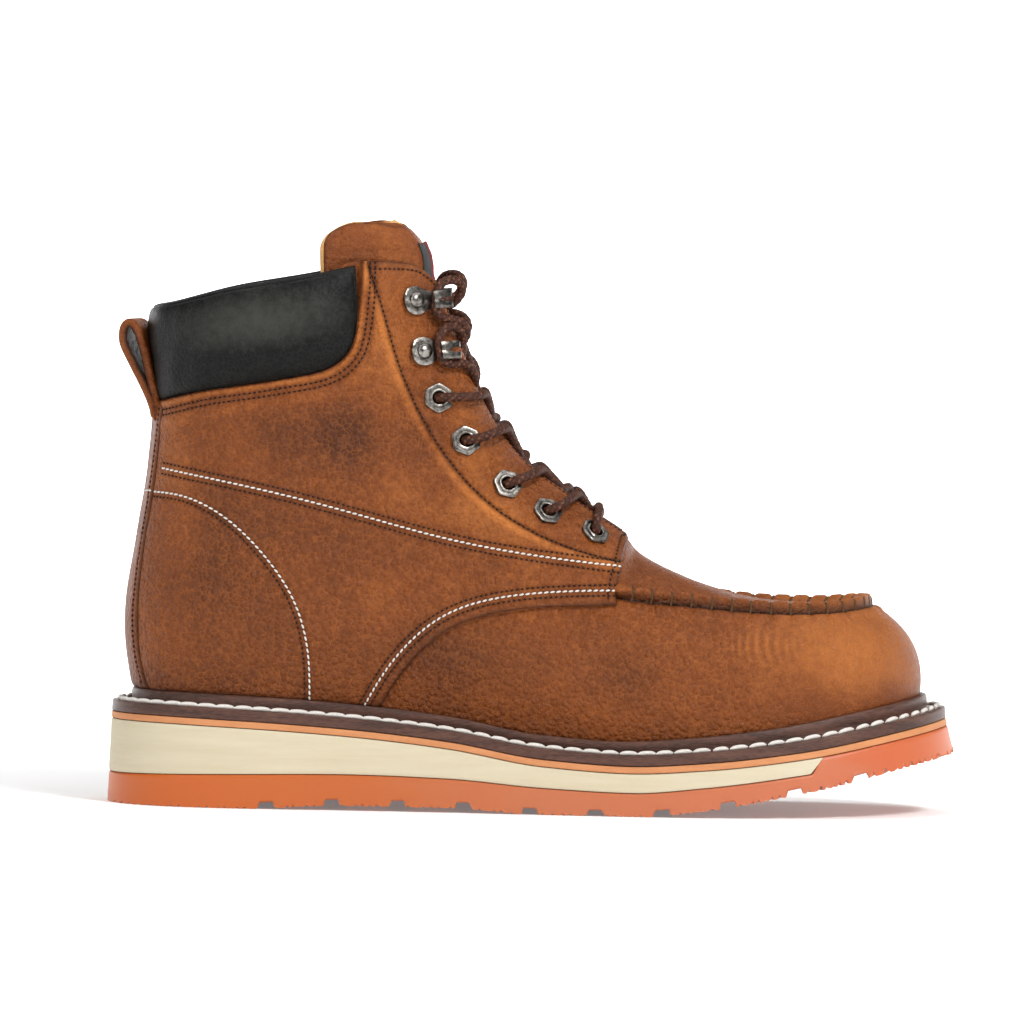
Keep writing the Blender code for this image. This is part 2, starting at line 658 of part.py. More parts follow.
def make_backstay(leather):
    """Strip up the heel seam, wider at its foot, with thinned edges."""
    share = mirrored(np.array([0.0, TURNS[1] / BACKSTAY_TURN, 0.85, 1.0]))
    low = over_welt(BACKSTAY_TURN * share)
    high = rise_at(BACKSTAY_TURN * share, side_line(PAD_EDGE, -LOOP_STRAP))
    rise = rows_between(low, high, 11)
    turn = share[:, None] * (BACKSTAY_TURN + backstay_flare(rise))
    thick = np.where(np.abs(share) < 0.9, BACKSTAY, BACKSTAY_EDGE)[:, None] * np.ones(rise.shape)
    under = np.full(rise.shape, SEWN_GAP)
    shell("backstay", lifted(turn, rise, under + thick), lifted(turn, rise, under), leather)


def make_collar_pad(leather):
    """Padded collar, swelling between its hems."""
    turn = mirrored(np.array(PAD_TURNS))
    rise = rows_between(rise_at(turn, side_line(PAD_EDGE)), np.ones(turn.shape), 8)
    up = np.linspace(0, 1, 8)
    belly = np.sqrt(np.clip(4 * up * (1 - up), 0, 1))
    around = np.abs(turn) / PAD_END
    swell = PAD_BACK + (PAD_SIDE - PAD_BACK) * np.clip(around / PAD_FULL, 0, 1)
    swell *= np.sqrt(np.clip((1 - around) / PAD_ROUNDING, 0, 1))
    under = np.full(rise.shape, SEWN_GAP)
    lift = under + PAD_HEM + swell[:, None] * belly
    shell("collar_pad", lifted(turn[:, None], rise, lift), lifted(turn[:, None], rise, under), leather)


def make_pull_loop(leather):
    """Folded strap that stands off the heel, open from side to side."""
    middle = np.stack([LOOP_LINE["x"], LOOP_LINE["z"]], axis=-1)
    along = unit(np.roll(middle, -1, axis=0) - np.roll(middle, 1, axis=0))
    square = np.stack([-along[:, 1], along[:, 0]], axis=-1) * LOOP_STRAP / 2
    section = []
    for flat, y in ((middle + square, -1), (middle + square, 1), (middle - square, 1), (middle - square, -1)):
        section.append(np.stack([flat[:, 0], np.full(len(flat), y * LOOP_HALF_WIDTH), flat[:, 1]], axis=-1))
    section.append(section[0])
    points = np.stack(section, axis=1)
    solid("pull_loop", points.reshape(-1, 3), grid_faces(len(middle), 5, closed=True), leather)


def tongue_rows():
    """Outer face of the tongue: from one wing under the throat's edge, over the middle, to the other wing."""
    given = np.arange(len(TONGUE["up"]))
    finer = np.linspace(0, given[-1], TONGUE_ROWS)
    table = {name: taut(given, values, finer) for name, values in TONGUE.items()}
    rows = []
    for k in range(TONGUE_ROWS):
        row = {name: values[k] for name, values in table.items()}
        share = np.linspace(0, 1, 4)
        turn = row["wing_turn"] + (row["edge_turn"] - row["wing_turn"]) * share
        rise = row["wing_rise"] + (row["edge_rise"] - row["wing_rise"]) * share
        depth = np.full(4, -(LEATHER + GAP + row["sink"]))
        left, right = lifted(-turn, rise, depth), lifted(turn, rise, depth)
        face = left[-1] - lifted(-turn, rise, depth - 1)[-1] + right[-1] - lifted(turn, rise, depth - 1)[-1]
        middle = (left[-1] + right[-1]) / 2 + unit(face * np.array([1, 0, 1])) * row["crown"]
        points = np.concatenate([left, [middle], right[::-1]])
        rows.append(np.append(points + np.array([0, 0, row["up"]]), np.full((9, 1), row["thick"]), axis=1))
    return np.array(rows)


def grid_normals(grid):
    return unit(np.cross(np.gradient(grid, axis=0), np.gradient(grid, axis=1)))


def make_tongue(leather):
    rows = tongue_rows()
    outer, thick = rows[..., :3], rows[..., 3:]
    normal = grid_normals(outer)
    ahead = np.array([1.0, 0, 0.5])
    normal *= np.sign((normal[:, 4] * ahead).sum(-1).mean())
    shell("tongue", outer, outer - normal * thick, leather)


# Lacing


def spot(x, z, side):
    """Turn, rise, point on the quarter's face and outward normal at a place of the side view."""
    turn, rise = np.meshgrid(side * np.linspace(60, QUARTER_END, 189), np.linspace(0.5, 1, 201), indexing="ij")
    lift = np.full(turn.shape, SEWN_GAP + QUARTER)
    face = lifted(turn, rise, lift)
    k = ((face[..., 0] - x) ** 2 + (face[..., 2] - z) ** 2).argmin()
    turn, rise = turn.flat[k], rise.flat[k]
    point = lifted(turn, rise, SEWN_GAP + QUARTER)
    return point, unit(point - lifted(turn, rise, GAP))


def throat_edge(point, side):
    """Turn on the throat's edge nearest to a point."""
    turns = np.linspace(EYESTAY_TOP, QUARTER_END - 0.5, 93)
    return turns[np.linalg.norm(skin(side * turns, 1.0) - point, axis=-1).argmin()]


def lace_frames(places):
    """For each place and side: point, normal, forward direction to the throat, and turn of the edge there."""
    frames = []
    for x, z in places:
        pair = {}
        for name, side in (("lateral", -1), ("medial", 1)):
            point, normal = spot(x, z, side)
            edge_turn = throat_edge(point, side)
            ahead = skin(side * edge_turn, 1.0) - point
            ahead = unit(ahead - (ahead * normal).sum() * normal)
            pair[name] = {"point": point, "normal": normal, "ahead": ahead, "edge_turn": side * edge_turn}
        frames.append(pair)
    return frames


def make_eyelet(name, frame, metal):
    """Six-sided eyelet flange with a round hole."""
    normal, ahead = frame["normal"], frame["ahead"]
    across = np.cross(normal, ahead)
    base = frame["point"] + normal * METAL_GAP
    angle = np.radians(np.arange(12) * 30)
    corner = EYELET_ACROSS / 2 / np.cos((angle % math.radians(60)) - math.radians(30))
    hole = EYELET_HOLE / 2
    rings = []
    for radius, height in ((corner, 0), (corner * 0.94, EYELET_THICK), (hole, EYELET_THICK), (hole, 0)):
        ring = np.cos(angle)[:, None] * ahead + np.sin(angle)[:, None] * across
        rings.append(base + ring * np.broadcast_to(radius, angle.shape)[:, None] + normal * height)
    rings.append(rings[0])
    points = np.stack(rings, axis=1)
    solid(name, points.reshape(-1, 3), grid_faces(12, 5, closed=True), metal)


def joined(obj, other):
    """Adds a second mesh to an object as one solid."""
    other.hide_render = True
    other.display_type = "WIRE"
    modifier = obj.modifiers.new("joined", "BOOLEAN")
    modifier.operation = "UNION"
    modifier.solver = "EXACT"
    modifier.object = other


def make_hook(name, frame, metal):
    """Lace hook: a riveted plate whose front end curls away from the leather."""
    normal, ahead = frame["normal"], frame["ahead"]
    across = np.cross(normal, ahead)
    strip = HOOK_STRIP
    path = np.stack([strip["forward"], strip["away"]], axis=-1)
    along = unit(np.gradient(path, axis=0))
    square = np.stack([-along[:, 1], along[:, 0]], axis=-1) * HOOK_THICK
    base = frame["point"] + normal * METAL_GAP

    def place(flat, half):
        return base + flat[:, :1] * ahead + flat[:, 1:] * normal + half[:, None] * across

    low, high = path, path + square
    outer = np.stack([place(high, -strip["half"]), place(high, strip["half"])], axis=1)
    inner = np.stack([place(low, -strip["half"]), place(low, strip["half"])], axis=1)
    hook = shell(name, outer, inner, metal)
    angle = np.radians(np.arange(10) * 36)
    rings = []
    for radius, height in zip(RIVET_DOME["radius"], RIVET_DOME["height"]):
        ring = np.cos(angle)[:, None] * ahead + np.sin(angle)[:, None] * across
        rings.append(base + ring * radius + normal * height)
    points = np.stack(rings, axis=1).reshape(-1, 3)
    faces = grid_faces(10, 4, closed=True) + [tuple(range(0, 40, 4)), tuple(range(3, 40, 4))[::-1]]
    joined(hook, solid(name + "_rivet", points, faces, metal))


def tube(name, path, material):
    """Round strand along a path, with flat ends."""
    along = unit(np.gradient(path, axis=0))
    first = unit(np.cross(along, np.array([1.0, 0.0, -0.6])))
    second = np.cross(along, first)
    angle = np.arange(LACE_SIDES) * math.tau / LACE_SIDES
    ring = np.cos(angle)[None, :, None] * first[:, None] + np.sin(angle)[None, :, None] * second[:, None]
    points = (path[:, None] + ring * LACE_RADIUS).transpose(1, 0, 2)
    count = len(path)
    faces = grid_faces(LACE_SIDES, count, closed=True)
    start = tuple(k * count for k in range(LACE_SIDES))
    faces += [start, tuple(k + count - 1 for k in start)[::-1]]
    return solid(name, points.reshape(-1, 3), faces, material, smooth_angle=60)


def smooth_path(stops, count):
    stops = np.array(stops)
    run = np.concatenate([[0], np.cumsum(np.linalg.norm(np.diff(stops, axis=0), axis=1))])
    where = np.linspace(0, run[-1], count)
    return np.stack([taut(run, stops[:, k], where) for k in range(3)], axis=-1)


def over_tongue(edge_turn, share, crown=LACE_CROWN):
    """Point of a lace on the tongue: share -1 to 1 from the lateral to the medial edge of the throat."""
    ends = np.array([lifted(side * edge_turn, 1.0, -(LEATHER + GAP)) for side in (-1, 1)])
    above = np.array([lifted(side * edge_turn, 1.0, 1.0) for side in (-1, 1)])
    normal = unit((above - ends).sum(axis=0))
    height = crown * (1 - share * share) + GAP + LACE_RADIUS
    return ends.mean(axis=0) + (ends[1] - ends[0]) / 2 * share + normal * height


def from_eyelet(frame):
    """Stops of a lace from an eyelet's hole to the throat's edge."""
    away = frame["point"] + frame["normal"] * (METAL_GAP + EYELET_THICK + GAP + LACE_RADIUS)
    past = away + frame["ahead"] * (EYELET_ACROSS / 2 + LACE_RADIUS)
    edge = lifted(frame["edge_turn"], 1.0, SEWN_GAP + QUARTER + GAP + LACE_RADIUS + LACE_SLACK)
    return [away + frame["ahead"] * EYELET_HOLE / 2, past, edge]


def make_lacing(frames, cord):
    """A bar over the lowest eyelets, and a crossing between each pair of levels above it."""
    levels = [(abs(pair["lateral"]["edge_turn"]) + pair["medial"]["edge_turn"]) / 2 for pair in frames]
    left, right = (from_eyelet(frames[0][side]) for side in ("lateral", "medial"))
    middle = over_tongue(levels[0], 0.0, LACE_CROWN + LACE_SLACK)
    tube("lace_bar", smooth_path([*left, middle, *right[::-1]], 11), cord)
    for k in range(len(frames) - 1):
        strands = []
        for side, name in ((-1, "lateral"), (1, "medial")):
            leaves_eyelet = 0 < k < len(EYELETS)
            crown = {0: LOW_LACE_CROWN, len(EYELETS): TOP_LACE_CROWN}.get(k, LACE_CROWN)
            start = [over_tongue(0.7 * levels[k] + 0.3 * levels[k + 1], side * LACE_TUCK, crown)]
            if leaves_eyelet:
                start = from_eyelet(frames[k][name])
            crossing = over_tongue((levels[k] + levels[k + 1]) / 2, 0.0, crown)
            stops = [*start, crossing, over_tongue(levels[k + 1], -side * LACE_TUCK, crown)]
            path = smooth_path(stops, 9 if leaves_eyelet else 5)
            strands.append(tube(f"lace_crossing_{k + 1}_{name}", path, cord))
        strands[0].name = f"lace_crossing_{k + 1}"
        joined(*strands)


def main():
    start_scene()
    rubber = finish("gum_rubber", (0.62, 0.19, 0.07), 0.5)
    tan_rubber = finish("tan_rubber", (0.5, 0.2, 0.08), 0.6)
    foam = finish("cream_foam", (0.78, 0.72, 0.55), 0.7)
    brown_rubber = finish("brown_rubber", (0.06, 0.03, 0.022), 0.5)
    leather = finish("brown_leather", (0.30, 0.11, 0.035), 0.5)
    board = finish("insole_board", (0.45, 0.32, 0.16), 0.9)
    black_leather = finish("black_leather", (0.012, 0.012, 0.012), 0.45)
    nickel = finish("antique_nickel", (0.35, 0.33, 0.31), 0.35, metallic=1.0)
    cord = finish("brown_cord", (0.07, 0.03, 0.018), 0.85)
    make_outsole(rubber)
    make_midsole(foam)
    make_slip_sole(tan_rubber)
    make_welt(brown_rubber)
    make_insole(board)
    make_upper(leather)
    make_tongue(leather)
    make_quarters(leather)
    make_backstay(leather)
    make_collar_pad(black_leather)
    make_pull_loop(leather)
    frames = lace_frames(EYELETS + HOOKS)
    for k, pair in enumerate(frames):
        for side, frame in pair.items():
            if k < len(EYELETS):
                make_eyelet(f"eyelet_{side}_{k + 1}", frame, nickel)
            else:
                make_hook(f"hook_{side}_{k + 1 - len(EYELETS)}", frame, nickel)
    make_lacing(frames, cord)


main()
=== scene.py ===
# Moc toe work boot for the right foot: leather, stitching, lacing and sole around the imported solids.
# Shapes are worked out in mm on the boot's own axes: X heel to toe, Y to the inner side, Z up.
import math

import bpy
import numpy as np
from mathutils import Matrix, Vector


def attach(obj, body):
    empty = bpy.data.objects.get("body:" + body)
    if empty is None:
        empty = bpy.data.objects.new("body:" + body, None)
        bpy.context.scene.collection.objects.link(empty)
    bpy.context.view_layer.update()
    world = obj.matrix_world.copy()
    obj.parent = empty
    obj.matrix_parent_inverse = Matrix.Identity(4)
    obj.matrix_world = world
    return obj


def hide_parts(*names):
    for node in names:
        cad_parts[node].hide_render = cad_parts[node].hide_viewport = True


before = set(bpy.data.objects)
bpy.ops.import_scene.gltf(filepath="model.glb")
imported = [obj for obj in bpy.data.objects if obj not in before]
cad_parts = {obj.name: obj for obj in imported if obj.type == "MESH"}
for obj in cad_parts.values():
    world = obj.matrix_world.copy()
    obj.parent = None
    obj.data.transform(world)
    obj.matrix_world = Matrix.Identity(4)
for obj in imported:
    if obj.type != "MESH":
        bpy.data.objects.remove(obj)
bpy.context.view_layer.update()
mm = 0.001
print("frame:", len(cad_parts), "solids")


# Curves and numbers

def columns(names, *rows):  # a table of sections, one array for each named column
    return dict(zip(names, np.array(rows, float).T))


def unit(v):  # v divided by its length
    return v / np.maximum(np.linalg.norm(v, axis=-1, keepdims=True), 1e-9)


def smooth(low, high, v):  # 0 below low, 1 above high, 3t^2 - 2t^3 between them
    t = np.clip((v - low) / (high - low), 0, 1)
    return t * t * (3 - 2 * t)


def hump(v, width):  # exp(-(v / width)^2)
    return np.exp(-((v / width) ** 2))


def soften(points, size, seed):  # uneven hand of the hide: mean of seven sine waves of one size, in fixed directions
    draw = np.random.default_rng(seed)
    waves = unit(draw.normal(size=(7, 3))) * math.tau / size
    return np.sin(points @ waves.T + draw.uniform(0, math.tau, 7)).mean(-1) * 1.8


def taut(at, values, where):  # monotone cubic through the rows: never overshoots them
    step = np.diff(at)
    slope = np.diff(values) / step
    sameWay = slope[:-1] * slope[1:] > 0
    with np.errstate(divide="ignore", invalid="ignore"):
        mean = 3 * (step[:-1] + step[1:])
        mean = mean / ((step[:-1] + 2 * step[1:]) / slope[:-1] + (2 * step[:-1] + step[1:]) / slope[1:])
    lean = np.concatenate([[slope[0]], np.where(sameWay, mean, 0.0), [slope[-1]]])
    where = np.clip(where, at[0], at[-1])
    i = np.clip(np.searchsorted(at, where, side="right") - 1, 0, len(step) - 1)
    t = (where - at[i]) / step[i]
    rising = t * t * (3 - 2 * t)
    bend = step[i] * (t * (1 - t) ** 2 * lean[i] - t * t * (1 - t) * lean[i + 1])
    return values[i] * (1 - rising) + values[i + 1] * rising + bend


def batten(at, values, where):  # natural cubic through the rows, as a thin batten bends
    step = np.diff(at)
    count = len(at)
    matrix = np.eye(count)
    pull = np.zeros((count,) + values.shape[1:])
    for k in range(1, count - 1):
        matrix[k, k - 1:k + 2] = step[k - 1], 2 * (step[k - 1] + step[k]), step[k]
        pull[k] = 6 * ((values[k + 1] - values[k]) / step[k] - (values[k] - values[k - 1]) / step[k - 1])
    bow = np.linalg.solve(matrix, pull)
    where = np.clip(where, at[0], at[-1])
    i = np.clip(np.searchsorted(at, where, side="right") - 1, 0, count - 2)
    b = (where - at[i]) / step[i]
    h = step[i]
    if values.ndim > 1:
        b, h = b[..., None], h[..., None]
    a = 1 - b
    return a * values[i] + b * values[i + 1] + ((a**3 - a) * bow[i] + (b**3 - b) * bow[i + 1]) * h**2 / 6


def along(points):  # running length of a row of points
    return np.concatenate([[0.0], np.cumsum(np.linalg.norm(np.diff(points, axis=0), axis=1))])


def lengthsAlong(grid, axis):  # running length along one way of a grid
    step = np.linalg.norm(np.diff(grid, axis=axis), axis=-1)
    zero = np.zeros_like(np.take(step, [0], axis=axis))
    return np.concatenate([zero, np.cumsum(step, axis=axis)], axis=axis)


def drawn(points, step=0.5):  # batten through the given points, by their running length, every step mm
    points = np.array(points, float)
    run = along(points)
    return batten(run, points, np.linspace(0, run[-1], max(3, int(run[-1] / step))))


# The last: the same lines as the solids

last = dict(halfLength=142.0, middle=-1.15, feather=-3.0, welt=8.0, heelTread=9.2, toeTread=11.5)
outlineRows = columns(
    ("turn", "lateral", "medial", "drift"),
    (0, 65.0, 65.0, 0.0), (30, 55.5, 55.5, 0.0), (60, 38.3, 37.0, 0.0), (90, 38.4, 32.4, 0.0),
    (120, 53.0, 52.0, 0.4), (150, 68.0, 70.5, 2.5), (180, 72.0, 76.0, 5.0),
)
soleRows = columns(
    ("x", "tread", "wedge", "welt"),
    (-153, 0.0, 10.8, 32.6), (-138, 0.0, 11.3, 32.4), (-104, 0.0, 12.2, 31.2), (-66, 1.7, 12.8, 28.9),
    (-30, 1.7, 12.0, 25.2), (4, 0.0, 9.4, 19.6), (36, 0.0, 8.3, 17.8), (60, 2.4, 10.4, 19.2),
    (96, 9.4, 15.6, 23.6), (132, 17.0, 22.6, 30.8), (153, 21.4, 27.0, 35.2),
)
shoulderRows = columns(
    ("turn", "x", "lateral", "medial", "z", "low", "high"),
    (0, -141.3, 0.0, 0.0, 95.0, 4.2, -2.7), (15, -137.5, 13.5, 13.5, 95.0, 4.2, -2.7),
    (30, -124.0, 25.5, 25.5, 95.0, 4.2, -2.5), (45, -102.0, 32.5, 32.0, 95.0, 4.4, -2.0),
    (60, -74.0, 35.0, 33.8, 94.0, 4.8, -1.0), (75, -42.0, 37.0, 35.0, 90.0, 5.6, 1.0),
    (90, -8.0, 39.5, 37.2, 84.0, 6.5, 4.5), (100, 14.0, 39.2, 38.0, 80.0, 7.0, 6.0),
    (110, 35.0, 37.8, 37.6, 76.5, 7.4, 4.5), (120, 56.0, 36.2, 36.6, 74.7, 7.4, 2.6),
    (130, 77.0, 34.2, 34.8, 73.0, 7.4, 1.4), (140, 94.0, 31.0, 31.5, 72.4, 7.6, 0.8),
    (150, 107.0, 26.0, 26.0, 72.9, 8.0, 0.5), (165, 118.5, 14.0, 14.2, 74.2, 8.6, 0.3),
    (180, 122.0, 0.0, 0.0, 74.6, 8.7, 0.2),
)
topRows = columns(
    ("turn", "x", "half", "z"),
    (0, -136.5, 0.0, 176.5), (15, -132.0, 15.0, 178.0), (30, -121.0, 26.0, 182.0), (45, -103.0, 33.0, 187.5),
    (60, -80.0, 34.5, 192.5), (70, -61.0, 31.5, 195.7), (77, -47.5, 24.5, 195.0), (82, -39.0, 18.5, 190.0),
    (87, -31.5, 17.0, 172.0), (92, -22.0, 16.4, 149.0), (97, -7.0, 15.8, 127.0), (102, 12.0, 14.8, 112.5),
    (107, 33.0, 12.5, 97.0), (110, 36.5, 0.0, 93.0), (120, 54.0, 0.0, 83.8), (130, 72.0, 0.0, 77.5),
    (140, 86.0, 0.0, 75.4), (150, 95.0, 0.0, 75.0), (165, 100.5, 0.0, 75.2), (180, 102.0, 0.0, 75.3),
)
upperCut = dict(quarterEnd=107, throatEnd=110, creaseFrom=100, creaseTo=110, sewnGap=0.4, quarter=1.8, lining=2.4)
weltEdge, weltLip, slipSole, halfGap = 4.0, 4.5, 2.6, 0.15


def soleHeight(name, x):  # height of one of the sole's lines at X, taut through its rows
    return taut(soleRows["x"], soleRows[name], x)


def treadMargin(turn):  # grows from heel to toe with (1 - cos turn) / 2
    return last["heelTread"] + (last["toeTread"] - last["heelTread"]) * (1 - np.cos(np.radians(turn))) / 2


def spread(turn, margin):  # lateral and medial Y: drift -+ (semi-axis + margin) * sin turn
    sine = np.sin(np.radians(turn))
    drift = batten(outlineRows["turn"], outlineRows["drift"], turn)
    lateral = drift - (batten(outlineRows["turn"], outlineRows["lateral"], turn) + margin) * sine
    return lateral, drift + (batten(outlineRows["turn"], outlineRows["medial"], turn) + margin) * sine


allRound = np.linspace(0, 180, 361)
widest = spread(allRound, treadMargin(allRound))
centreY = (widest[0].min() + widest[1].max()) / 2


def outline(turn, margin):  # point of the sole's outline; a negative turn is on the lateral side
    around = np.abs(turn)
    lateral, medial = spread(around, margin)
    x = last["middle"] - (last["halfLength"] + margin) * np.cos(np.radians(around))
    return x, np.where(turn < 0, lateral, medial) - centreY


def station(turn):  # X where the sole's heights are read
    return last["middle"] - (last["halfLength"] + last["welt"]) * np.cos(np.radians(np.abs(turn)))


def turnAt(x):  # turn of the station at X: the arc cosine of its share of the half length
    return np.degrees(np.arccos(np.clip((last["middle"] - x) / (last["halfLength"] + last["welt"]), -1, 1)))


def wrapped(turn):  # past the toe it comes back on the other side
    return np.where(turn > 180, turn - 360, np.where(turn < -180, turn + 360, turn))


def outward(turn):  # level direction square to the outline
    ahead = np.moveaxis(np.array(outline(wrapped(turn + 0.5), 0.0)), 0, -1)
    step = ahead - np.moveaxis(np.array(outline(wrapped(turn - 0.5), 0.0)), 0, -1)
    return unit(np.stack([-step[..., 1], step[..., 0], np.zeros(step.shape[:-1])], axis=-1))


def swelled(low, high, amount, out):  # half-way point, pushed square to the line between the two
    chord = unit(high - low)
    push = out + np.array([0.0, 0.0, 1.0])
    push = unit(push - (push * chord).sum(-1, keepdims=True) * chord)
    return (low + high) / 2 + amount[..., None] * push


def controlRows(turn):  # feather edge, lower swell, shoulder, upper swell and top line
    around, side = np.abs(turn), np.where(turn < 0, -1.0, 1.0)
    x, y = outline(turn, last["feather"])
    feather = np.stack([x, y, soleHeight("welt", station(turn)) + halfGap], axis=-1)
    middle = batten(outlineRows["turn"], outlineRows["drift"], around) - centreY
    mid = {name: batten(shoulderRows["turn"], shoulderRows[name], around) for name in shoulderRows}
    shoulder = np.stack([mid["x"], middle + side * np.where(turn < 0, mid["lateral"], mid["medial"]), mid["z"]], axis=-1)
    end = {name: taut(topRows["turn"], topRows[name], around) for name in topRows}
    top = np.stack([end["x"], middle + side * end["half"], end["z"]], axis=-1)
    out = outward(turn)
    low, high = swelled(feather, shoulder, mid["low"], out), swelled(shoulder, top, mid["high"], out)
    return np.stack([feather, low, shoulder, high, top], axis=-2)


secondShares = np.zeros((5, 5))
secondShares[1:4] = np.linalg.solve(
    np.array([[4, 1, 0], [1, 4, 1], [0, 1, 4.0]]), 6 * (np.eye(5)[0:3] - 2 * np.eye(5)[1:4] + np.eye(5)[2:5])
)


def rowShares(rise, turn):
    # weights of the five rows: one natural cubic on the quarters, two parabolas with a crease on the vamp
    s = 4 * rise
    i = np.clip(np.floor(s), 0, 3).astype(int)
    b = (s - i)[..., None]
    a, rows = 1 - b, np.eye(5)
    bent = a * rows[i] + b * rows[i + 1] + ((a**3 - a) * secondShares[i] + (b**3 - b) * secondShares[i + 1]) / 6
    start = np.where(s <= 2, 0, 2)
    u = (s - start)[..., None]
    creased = (u - 1) * (u - 2) / 2 * rows[start] + u * (2 - u) * rows[start + 1] + u * (u - 1) / 2 * rows[start + 2]
    q = smooth(upperCut["creaseFrom"], upperCut["creaseTo"], np.abs(turn))[..., None]
    return bent * (1 - q) + creased * q


def skin(turn, rise):  # face of the upper: rise 0 at the feather edge, 0.5 at the shoulder, 1 at the top line
    turn, rise = np.broadcast_arrays(np.asarray(turn, float), np.asarray(rise, float))
    return np.einsum("...k,...kd->...d", rowShares(rise, turn), controlRows(turn))


def skinFrame(turn, rise):  # that point and its outward normal, from steps of 0.4 degrees and 0.004 of rise
    turn, rise = np.broadcast_arrays(np.asarray(turn, float), np.asarray(rise, float))
    around = skin(wrapped(turn + 0.4), rise) - skin(wrapped(turn - 0.4), rise)
    rising = skin(turn, rise + 0.004) - skin(turn, rise - 0.004)
    normal = unit(np.cross(rising, around))
    # where columns run together at the plug's toe end they fold, so the normal there is upright
    folded = (np.abs(turn) > 150) & (rise > 0.8) & (normal[..., 2] < 0.5)
    return skin(turn, rise), np.where(folded[..., None], np.array([0.0, 0.0, 1.0]), normal)


def lifted(turn, rise, lift):  # that point moved along its normal
    point, normal = skinFrame(turn, rise)
    return point + normal * np.asarray(lift, float)[..., None]


ladder = np.linspace(0, 1, 301)


def riseAt(turn, height):  # rise where each column crosses a side-view height, itself a function of X
    turn = np.asarray(turn, float)
    column = skin(turn[:, None], ladder[None, :])
    above = column[..., 2] - height(column[..., 0])
    k = np.clip((above > 0).argmax(axis=1), 1, len(ladder) - 1)
    k = np.where(above[:, -1] <= 0, len(ladder) - 1, k)
    pick = np.arange(len(turn))
    a, b = above[pick, k - 1], above[pick, k]
    return np.clip(ladder[k - 1] + (ladder[1] - ladder[0]) * a / np.where(a - b == 0, 1, a - b), 0, 1)


def overSole(turn, height):  # rise at a height above the welt's underside
    base = soleHeight("welt", station(turn)) + height
    return riseAt(turn, lambda x: base[:, None] * np.ones(x.shape))


# Meshes

def gridQuads(rows, cols, first=0, loopRows=False, loopCols=False):  # corners (i,j) (i+1,j) (i+1,j+1) (i,j+1)
    i = np.arange(rows if loopRows else rows - 1)[:, None]
    j = np.arange(cols if loopCols else cols - 1)[None, :]
    nextI, nextJ = (i + 1) % rows, (j + 1) % cols
    return first + np.stack([i * cols + j, nextI * cols + j, nextI * cols + nextJ, i * cols + nextJ], -1).reshape(-1, 4)


def buildPiece(name, points, quads, materials, odd=(), pick=None, marks=None, sharp=None):
    # points in mm are welded at 0.001 mm, faces that lose a corner shrink, and the mesh is turned outwards by its volume
    points = np.asarray(points, float).reshape(-1, 3)
    _, first, index = np.unique(np.round(points, 3), axis=0, return_index=True, return_inverse=True)
    points, index = points[first], index.reshape(-1)
    quads = index[np.asarray(quads, int).reshape(-1, 4)]
    pick = np.zeros(len(quads) + len(odd), int) if pick is None else np.asarray(pick)
    whole = (quads != np.roll(quads, 1, axis=1)).all(axis=1) & (quads[:, 0] != quads[:, 2]) & (quads[:, 1] != quads[:, 3])
    cut = [list(dict.fromkeys(face)) for face in quads[~whole].tolist()]
    cut += [list(dict.fromkeys(index[np.asarray(face, int)].tolist())) for face in odd]
    cutPick = np.concatenate([pick[:len(quads)][~whole], pick[len(quads):]])
    keep = [k for k, face in enumerate(cut) if len(face) > 2]
    cut, cutPick = [cut[k] for k in keep], cutPick[keep]
    quads = quads[whole]
    a, b, c, d = (points[quads[:, k]] for k in range(4))
    volume = (np.cross(a, b) * c).sum() + (np.cross(a, c) * d).sum()
    if volume < 0:
        quads, cut = quads[:, ::-1], [face[::-1] for face in cut]
    loops = np.concatenate([quads.ravel(), np.array([v for face in cut for v in face], int)])
    sizes = np.concatenate([np.full(len(quads), 4), np.array([len(face) for face in cut], int)])
    mesh = bpy.data.meshes.new(name)
    mesh.vertices.add(len(points))
    mesh.vertices.foreach_set("co", (points * mm).astype(np.float32).ravel())
    mesh.loops.add(len(loops))
    mesh.loops.foreach_set("vertex_index", loops.astype(np.int32))
    mesh.polygons.add(len(sizes))
    mesh.polygons.foreach_set("loop_start", np.concatenate([[0], np.cumsum(sizes)[:-1]]).astype(np.int32))
    mesh.polygons.foreach_set("material_index", np.concatenate([pick[:len(whole)][whole], cutPick]).astype(np.int32))
    mesh.update(calc_edges=True)
    mesh.validate()
    for material in materials:
        mesh.materials.append(material)
    for mark, values in (marks or {}).items():
        layer = mesh.attributes.new(mark, "FLOAT", "POINT")
        layer.data.foreach_set("value", np.asarray(values, np.float32).reshape(-1)[first])
    mesh.shade_smooth()
    if sharp:
        mesh.set_sharp_from_angle(angle=math.radians(sharp))
    piece = bpy.data.objects.new(name, mesh)
    bpy.context.scene.collection.objects.link(piece)
    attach(piece, "root")
    print(name, len(mesh.polygons), "faces")
    return piece


